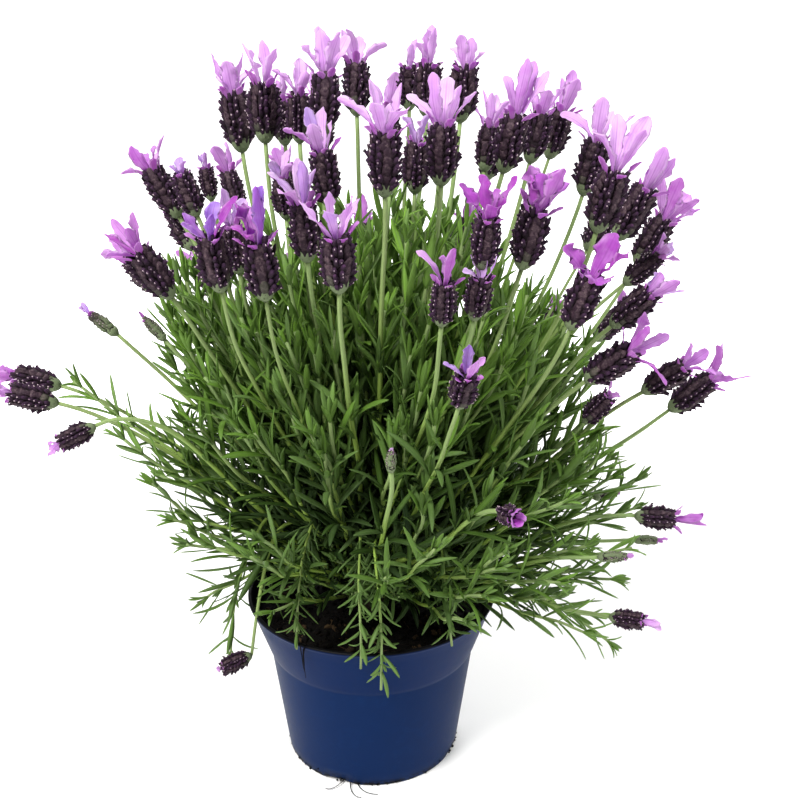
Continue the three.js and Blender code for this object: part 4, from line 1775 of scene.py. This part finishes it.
    def leafy_tips(self) -> list[tuple[Array, Array, Habit]]:
        """Where the shoots without flowers end.

        Returns:
            Each shoot's tip from the crown's centre, the direction that it ends in, and its habit.
        """
        canopy, under = self.canopy, self.undergrowth
        tips = [(*canopy.tip(index), Habit.TALL) for index in range(canopy.shoots)]
        tips += placed(SIDE_SPRAYS, Habit.TALL)
        tips += placed(LOW_SPRAYS + FRONT_SPRAYS + BACK_SPRAYS, Habit.LOW)
        tips += placed(HANGING_SPRAYS, Habit.HANGING)
        tips += [(*under.tip(index), Habit.FINE) for index in range(under.twigs)]
        return tips + placed(OUTER_SHOOTS, Habit.TALL) + placed(OUTER_SPRAYS, Habit.LOW)

    def crown(self) -> None:
        """The root collar and woody branches that every stem grows from."""
        surface = Surface([Finish.BARK])
        rng = np.random.default_rng(Seed.CROWN)
        low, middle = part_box("woody_crown")[0].z, self.centre[2]
        heights = np.array([low, low + 3 * MM, middle - 7 * MM, middle, middle + 6 * MM])
        radii = np.array([5.6, 7.0, 7.2, 9.0, 4.0]) * MM
        turns = around(20)
        lumps = 1 + 0.09 * np.sin(3 * turns + 1) + 0.06 * np.sin(7 * turns)
        points = turned(radii, heights, turns, lumps)
        surface.tubes(points, np.array([0.5, 0.5, 1.0, 1.0]), Finish.BARK)
        for start in self.starts:
            outward = unit(start - self.centre)
            way = np.array([self.centre, self.centre + outward * self.branch_reach * 0.4,
                            self.centre + outward * self.branch_reach * 0.7, start])
            route = Route.through(way, 8, 0.8 * MM, int(rng.integers(1000)))
            tube, tint = route.tube(2.7 * MM, 1.7 * MM)
            surface.tubes(tube, tint, Finish.BARK)
        settle(surface.build("crown_wood"), "woody_stem", "woody_crown")


# ------------------------------------------------------------------ pot and soil


@dataclass
class Pot:
    """Thin tapered plastic pot with a flared band, a rolled lip and drainage arches in its foot."""

    segments: int = 192
    shoulder: float = 62.5 * MM
    foot: float = 53 * MM
    band: float = 34 * MM
    step: float = 0.7 * MM
    wall: float = 1.6 * MM
    ring_height: float = 3 * MM
    ring_width: float = 5 * MM
    pad: float = 14 * MM
    arches: int = 4
    arch_width: float = 21 * MM
    arch_turn: float = math.radians(248)
    height: float = field(init=False)
    rim: float = field(init=False)

    def __post_init__(self) -> None:
        """Reads the rim from the frame."""
        low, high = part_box("pot")
        self.height, self.rim = high.z, (high.x - low.x) / 2

    def outside(self, height: float) -> float:
        """The wall's outside radius.

        Args:
            height: The height above the floor.

        Returns:
            The radius there.
        """
        bottom = self.height - self.band
        if height >= bottom:
            share = (height - bottom) / self.band
            return self.shoulder + self.step + share * (self.rim - self.shoulder - self.step)
        return self.foot + (self.shoulder - self.foot) * height / bottom

    def inside(self, height: float) -> float:
        """The wall's inside radius at a height."""
        return self.outside(height) - self.wall

    def profile(self) -> list[tuple[float, float, float]]:
        """The outline of the pot, cut from its axis.

        Returns:
            Radius, height and whether inside, from the middle of the underside to the middle of the floor.
        """
        bottom, lip = self.height - self.band, self.height - 2.2 * MM
        ring, floor = self.foot - self.ring_width, self.ring_height + 2 * MM
        outer = [(0.1 * MM, 0.0), (self.pad, 0.0), (self.pad + 1.5 * MM, self.ring_height),
                 (ring - 1.5 * MM, self.ring_height), (ring - 0.2 * MM, 0.4 * MM), (ring + 0.4 * MM, 0.0),
                 (self.foot - 1.1 * MM, 0.0), (self.foot - 0.3 * MM, 0.35 * MM)]
        outer += [(self.outside(h), h) for h in np.linspace(1.2 * MM, bottom - 3 * MM, 9)]
        outer += [(self.outside(bottom - 1.6 * MM), bottom - 1.6 * MM),
                  (self.outside(bottom) - 0.8 * MM, bottom - 1 * MM),
                  (self.outside(bottom), bottom + 0.3 * MM)]
        outer += [(self.outside(h), h) for h in np.linspace(bottom + 2.4 * MM, lip - 1 * MM, 6)]
        outer += [(self.rim - 0.5 * MM, lip + 0.2 * MM), (self.rim, lip + 0.7 * MM)]
        inner = [(self.rim, self.height - 0.6 * MM), (self.rim - 0.35 * MM, self.height - 0.12 * MM),
                 (self.rim - 0.7 * MM, self.height), (self.rim - 2.2 * MM, self.height - 0.1 * MM),
                 (self.inside(lip), lip)]
        inner += [(self.inside(h), h) for h in np.linspace(bottom, lip - 4 * MM, 5)[::-1]]
        inner += [(self.inside(h), h) for h in np.linspace(floor + 1 * MM, bottom - 2 * MM, 5)[::-1]]
        inner += [(self.inside(floor) - 1 * MM, floor), (0.1 * MM, floor)]
        return [(r, h, 0.0) for r, h in outer] + [(r, h, 1.0) for r, h in inner]

    def build(self) -> None:
        """Builds the pot."""
        profile = np.array(self.profile())
        turns = around(self.segments)
        sag = 1 + 0.0016 * np.sin(2 * turns + 0.6) + 0.0009 * np.sin(5 * turns)
        points = turned(profile[:, 0], profile[:, 1], turns, sag)
        away = np.abs((turns[:, None] - self.arch_turn - np.arange(self.arches) * 2 * np.pi / self.arches
                       + np.pi) % (2 * np.pi) - np.pi).min(axis=1) * self.foot
        arch = np.clip(1 - (away / (self.arch_width / 2)) ** 2, 0, 1) ** 0.6 * (self.ring_height - 0.3 * MM)
        in_ring = (profile[:, 0] > self.foot - self.ring_width - 0.5 * MM) & (profile[:, 1] < 1.5 * MM)
        points[0, in_ring, :, 2] = np.maximum(points[0, in_ring, :, 2], arch[None, :])
        tint = np.zeros((1, len(profile), self.segments, 4))
        tint[..., 1] = (profile[:, 1] / self.height)[None, :, None]
        tint[..., 2] = profile[:, 2][None, :, None]
        # The fourth number marks the flared band, which the finish darkens as painted shade.
        tint[..., 3] = (profile[:, 1] > self.height - self.band)[None, :, None]
        surface = Surface([Finish.POT])
        surface.tubes(points, tint, Finish.POT)
        settle(surface.build("nursery_pot"), "pot_plastic", "pot")


def value_noise(x: Array, y: Array, seed: int) -> Array:
    """Smooth noise on a plane, with features about one unit across.

    Args:
        x: First coordinate of each place.
        y: Second coordinate.
        seed: For the noise.

    Returns:
        A number between -1 and 1 for each place.
    """
    size = 64
    table = np.random.default_rng(seed).uniform(-1, 1, (size, size))
    xi, yi = np.floor(x).astype(int), np.floor(y).astype(int)
    fx, fy = x - xi, y - yi
    fx, fy = fx * fx * (3 - 2 * fx), fy * fy * (3 - 2 * fy)

    def corner(dx: int, dy: int) -> Array:
        """The table's value at a corner of each cell."""
        return table[(xi + dx) % size, (yi + dy) % size]

    low = corner(0, 0) * (1 - fx) + corner(1, 0) * fx
    high = corner(0, 1) * (1 - fx) + corner(1, 1) * fx
    return low * (1 - fy) + high * fy


@dataclass
class Soil:
    """Dark compost with crumbs and root fibre on it."""

    pot: Pot
    rings: int = 44
    segments: int = 150
    crumbs: int = 900
    clinging_crumbs: int = 110
    fibres: int = 46
    sunk: float = 1.4 * MM  # below the CAD soil's highest point
    gap: float = 0.3 * MM  # to the pot's wall
    level: float = field(init=False)

    def __post_init__(self) -> None:
        """Reads the soil's level from the frame."""
        self.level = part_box("potting_soil")[1].z - self.sunk

    def surface_height(self, x: Array, y: Array) -> Array:
        """The height of the bed.

        Args:
            x: First coordinate of each place.
            y: Second coordinate.

        Returns:
            The height at each place.
        """
        return (self.level + 0.9 * MM * value_noise(x / (14 * MM), y / (14 * MM), 3)
                + 0.55 * MM * value_noise(x / (5 * MM), y / (5 * MM), 4)
                + 0.35 * MM * value_noise(x / (2.2 * MM), y / (2.2 * MM), 6))

    def build(self) -> None:
        """Builds the bed, the crumbs and the fibres as one piece."""
        surface = Surface([Finish.SOIL])
        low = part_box("potting_soil")[0].z
        edge = self.pot.inside(self.level) - self.gap
        below = [(0.1 * MM, low), (self.pot.inside(low) - 1.3 * MM, low)]
        below += [(self.pot.inside(h) - self.gap, h)
                  for h in np.linspace(low + 1 * MM, self.level - 2 * MM, 6)]
        top = [(edge * share, self.level) for share in np.linspace(1, 0.002, self.rings)]
        profile = np.array(below + top)
        points = turned(profile[:, 0], profile[:, 1], around(self.segments))
        bed = points[0, len(below):]
        bed[..., 2] = self.surface_height(bed[..., 0], bed[..., 1])
        surface.tubes(points, np.zeros(4), Finish.SOIL)
        self.scatter(surface, edge)
        self.clinging(surface)
        self.hanging_roots(surface)
        settle(surface.build("compost"), "soil", "potting_soil")

    def hanging_roots(self, surface: Surface) -> None:
        """Hangs a few dry roots over the pot's lip and strays a few out of its foot.

        Args:
            surface: Takes them.
        """
        out, up, foot = self.pot.rim, self.pot.height, self.pot.foot
        for turn, drop, drift in ((238.5, 17 * MM, 2.5), (240.5, 21 * MM, 1.0), (243.0, 13 * MM, -2.0)):
            way = [(out - 8 * MM, up - 11 * MM, 0.0), (out - 1 * MM, up + 6 * MM, 0.3),
                   (out + 4 * MM, up + 2 * MM, 0.6), (out - 0.5 * MM, up - drop, 1.0)]
            self.root(surface, self.swept(way, turn, drift), 16, 0.4 * MM, 0.18 * MM, 0.5 * MM, int(turn))
        for turn, reach, drift in ((252.0, 9 * MM, -8.0), (256.0, 11 * MM, 9.0), (260.0, 8 * MM, 14.0)):
            way = [(foot - 4 * MM, 1.2 * MM, 0.0), (foot + reach * 0.5, 2.6 * MM, 0.1),
                   (foot + reach, 0.6 * MM, 0.4), (foot + reach, 0.5 * MM, 1.0)]
            self.root(surface, self.swept(way, turn, drift), 12, 0.35 * MM, 0.2 * MM)

    @staticmethod
    def swept(way: Sequence[tuple[float, float, float]], turn: float, drift: float) -> Array:
        """Swings a root's control points round the pot.

        Args:
            way: Radius, height and share of the drift of each.
            turn: Degrees about the pot where the root starts.
            drift: Degrees that it drifts by.

        Returns:
            The control points.
        """
        turns = [math.radians(turn + drift * share) for _, _, share in way]
        return np.array([(r * math.cos(t), r * math.sin(t), h) for (r, h, _), t in zip(way, turns)])

    @staticmethod
    def root(surface: Surface, controls: Array, steps: int, thick: float, thin: float,
             sway: float = 0.0, seed: int = 0, chance: float = 0.0) -> None:
        """Adds one thin root.

        Args:
            surface: Takes it.
            controls: Its four control points.
            steps: How many stretches it has.
            thick: Radius where it starts.
            thin: Radius at its tip.
            sway: How far it wanders.
            seed: For the wandering.
            chance: From 0, black, to 1, straw-coloured.
        """
        tube, tint = Route.through(controls, steps, sway, seed).tube(thick, thin)
        tint[..., 0] = chance
        surface.tubes(tube, tint, Finish.SOIL)

    @staticmethod
    def lumps(surface: Surface, rng: np.random.Generator, places: Array, size: Array) -> None:
        """Adds uneven crumbs.

        Args:
            surface: Takes them.
            rng: For the chance in their shapes.
            places: Their middles.
            size: Half their lengths.
        """
        count = len(size)
        along = unit(rng.normal(0, 1, (count, 3)))
        face = unit(np.cross(along, rng.normal(0, 1, (count, 3))))
        lumps = CRUMB.grow(places - along * size[:, None], along, face, size * 2,
                           size * rng.uniform(0.6, 1.1, count), size * rng.uniform(0.5, 0.9, count), 0.3)
        lumps = lumps + rng.normal(0, 0.13, lumps.shape) * size[:, None, None, None]
        surface.tubes(lumps, CRUMB.tint(rng.uniform(0, 1, count), 1.0), Finish.SOIL)

    def clinging(self, surface: Surface) -> None:
        """Sticks damp crumbs to the pot's wall just above the floor.

        Args:
            surface: Takes them.
        """
        rng = np.random.default_rng(Seed.CLINGING)
        size = rng.uniform(0.25, 0.75, self.clinging_crumbs) * MM
        height = 1.3 * size + rng.gamma(1.3, 0.6 * MM, self.clinging_crumbs)
        turn = rng.uniform(0, 2 * np.pi, self.clinging_crumbs)
        radius = np.array([self.pot.outside(h) for h in height])
        places = np.stack([radius * np.cos(turn), radius * np.sin(turn), height], axis=-1)
        self.lumps(surface, rng, places, size)

    def scatter(self, surface: Surface, edge: float) -> None:
        """Drops crumbs and fibres on the bed.

        Args:
            surface: Takes them.
            edge: The bed's radius.
        """
        rng = np.random.default_rng(Seed.BED)
        radius = (edge - 3 * MM) * np.sqrt(rng.uniform(0, 1, self.crumbs))
        turn = rng.uniform(0, 2 * np.pi, self.crumbs)
        x, y = radius * np.cos(turn), radius * np.sin(turn)
        size = rng.gamma(2.0, 0.42 * MM, self.crumbs) + 0.4 * MM
        places = np.stack([x, y, self.surface_height(x, y) + size * 0.3], axis=-1)
        self.lumps(surface, rng, places, size)
        for index in range(self.fibres):
            spot = (edge - 14 * MM) * math.sqrt(rng.uniform(0, 1))
            spin, head = rng.uniform(0, 6.3), rng.uniform(0, 6.3)
            start = np.array([spot * math.cos(spin), spot * math.sin(spin)])
            step = rng.uniform(2.0, 4.5) * MM
            way = []
            for _ in range(4):
                height = float(self.surface_height(start[:1], start[1:])[0])
                way.append([start[0], start[1], height + rng.uniform(0.3, 1.3) * MM])
                head += rng.normal(0, 0.7)
                start = start + step * np.array([math.cos(head), math.sin(head)])
            self.root(surface, np.array(way), 8, 0.28 * MM, 0.16 * MM, chance=1.0 if index % 3 else 0.5)


# ------------------------------------------------------------------ studio


@dataclass
class Studio:
    """White tabletop, soft light and the camera."""

    eye: tuple[float, float, float] = (0.01725, -0.5805, 0.4328)
    pitch: float = 19.6
    lens: float = 48.33
    table_reach: float = 4.0
    bare: float = 0.62  # radius of the tabletop that the surround leaves free
    lifted: float = 0.0008  # how far the surround lies above the tabletop
    bend_start: float = 2.4
    bend_radius: float = 0.6
    wall_top: float = 4.0

    def build(self) -> None:
        """Sets the scene up."""
        self.camera()
        self.floor()
        self.surround()
        self.light("key", (-0.75, -0.85, 1.55), (0.0, 0.0, 0.2), 0.8, 45.0, (1.0, 0.99, 0.97))
        self.light("side", (1.25, -0.35, 1.25), (0.0, 0.0, 0.2), 0.9, 16.0, (0.98, 0.99, 1.0))
        self.light("back", (0.2, 1.6, 1.5), (0.0, 0.0, 0.25), 1.4, 34.0, (1.0, 1.0, 1.0))
        world = bpy.data.worlds.new("studio_air")
        world.use_nodes = True
        background = world.node_tree.nodes["Background"]
        background.inputs["Color"].default_value = (1.0, 0.998, 0.992, 1)
        background.inputs["Strength"].default_value = 0.2
        bpy.context.scene.world = world
        bpy.context.scene.view_settings.view_transform = "Standard"
        bpy.context.scene.view_settings.look = "None"

    def camera(self) -> None:
        """Places the camera."""
        data = bpy.data.cameras.new("view")
        data.lens = self.lens
        data.sensor_width = 36.0
        eye = bpy.data.objects.new("view", data)
        eye.location = self.eye
        eye.rotation_euler = (math.radians(90 - self.pitch), 0, 0)
        bpy.context.scene.collection.objects.link(eye)
        bpy.context.scene.camera = eye

    @staticmethod
    def dish(name: str, profile: Sequence[tuple[float, float]], finish: FloorFinish) -> bpy.types.Object:
        """Turns a profile about +Z into a round stage piece.

        Args:
            name: The piece's name.
            profile: Radius and height, from the inside out.
            finish: Its finish.

        Returns:
            The piece.
        """
        corners = 96
        points = [(r * math.cos(t), r * math.sin(t), h) for r, h in profile for t in around(corners)]
        faces = []
        for ring in range(len(profile) - 1):
            for corner in range(corners):
                near, after = ring * corners, (corner + 1) % corners
                far = near + corners
                faces.append((near + corner, near + after, far + after, far + corner))
        mesh = bpy.data.meshes.new(name)
        mesh.from_pydata(points, [], faces)
        mesh.polygons.foreach_set("use_smooth", [True] * len(faces))
        mesh.materials.append(finish.make())
        piece = bpy.data.objects.new(name, mesh)
        bpy.context.scene.collection.objects.link(piece)
        return piece

    def floor(self) -> None:
        """Lays the tabletop."""
        self.dish("tabletop", [(r, 0.0) for r in (0.001, 0.3, 1.0, self.table_reach)], FloorFinish())

    def surround(self) -> None:
        """Stands white round the tabletop that only the camera sees, so that it lights nothing."""
        profile = [(self.bare, self.lifted), (self.bend_start, self.lifted)]
        profile += [(self.bend_start + self.bend_radius * math.sin(t),
                     self.lifted + self.bend_radius * (1 - math.cos(t)))
                    for t in np.linspace(0, math.pi / 2, 9)[1:]]
        profile += [(self.bend_start + self.bend_radius, self.wall_top)]
        piece = self.dish("surround", profile, FloorFinish("surround", (1.0, 1.0, 1.0, 1), 1.0))
        piece.visible_diffuse = piece.visible_glossy = piece.visible_transmission = False
        piece.visible_shadow = piece.visible_volume_scatter = False

    def light(self, name: str, place: tuple[float, float, float], aim: tuple[float, float, float],
              size: float, watts: float, colour: tuple[float, float, float]) -> None:
        """Hangs one soft lamp.

        Args:
            name: Its name.
            place: Where it hangs.
            aim: What it points at.
            size: Its width.
            watts: Its power.
            colour: Its colour.
        """
        data = bpy.data.lights.new(name, "AREA")
        data.shape = "DISK"
        data.size, data.energy, data.color = size, watts, colour
        lamp = bpy.data.objects.new(name, data)
        lamp.location = place
        lamp.rotation_euler = (Vector(aim) - Vector(place)).to_track_quat("-Z", "Y").to_euler()
        bpy.context.scene.collection.objects.link(lamp)


def main() -> None:
    """Builds the whole model and its studio."""
    logging.basicConfig(level=logging.INFO, format="%(name)s: %(message)s")
    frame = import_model()
    Studio().build()
    pot = Pot()
    pot.build()
    Soil(pot).build()
    plant = Plant(frame)
    plant.framed()
    plant.free()
    plant.leafy()
    plant.crown()


if __name__ == "__main__":
    main()
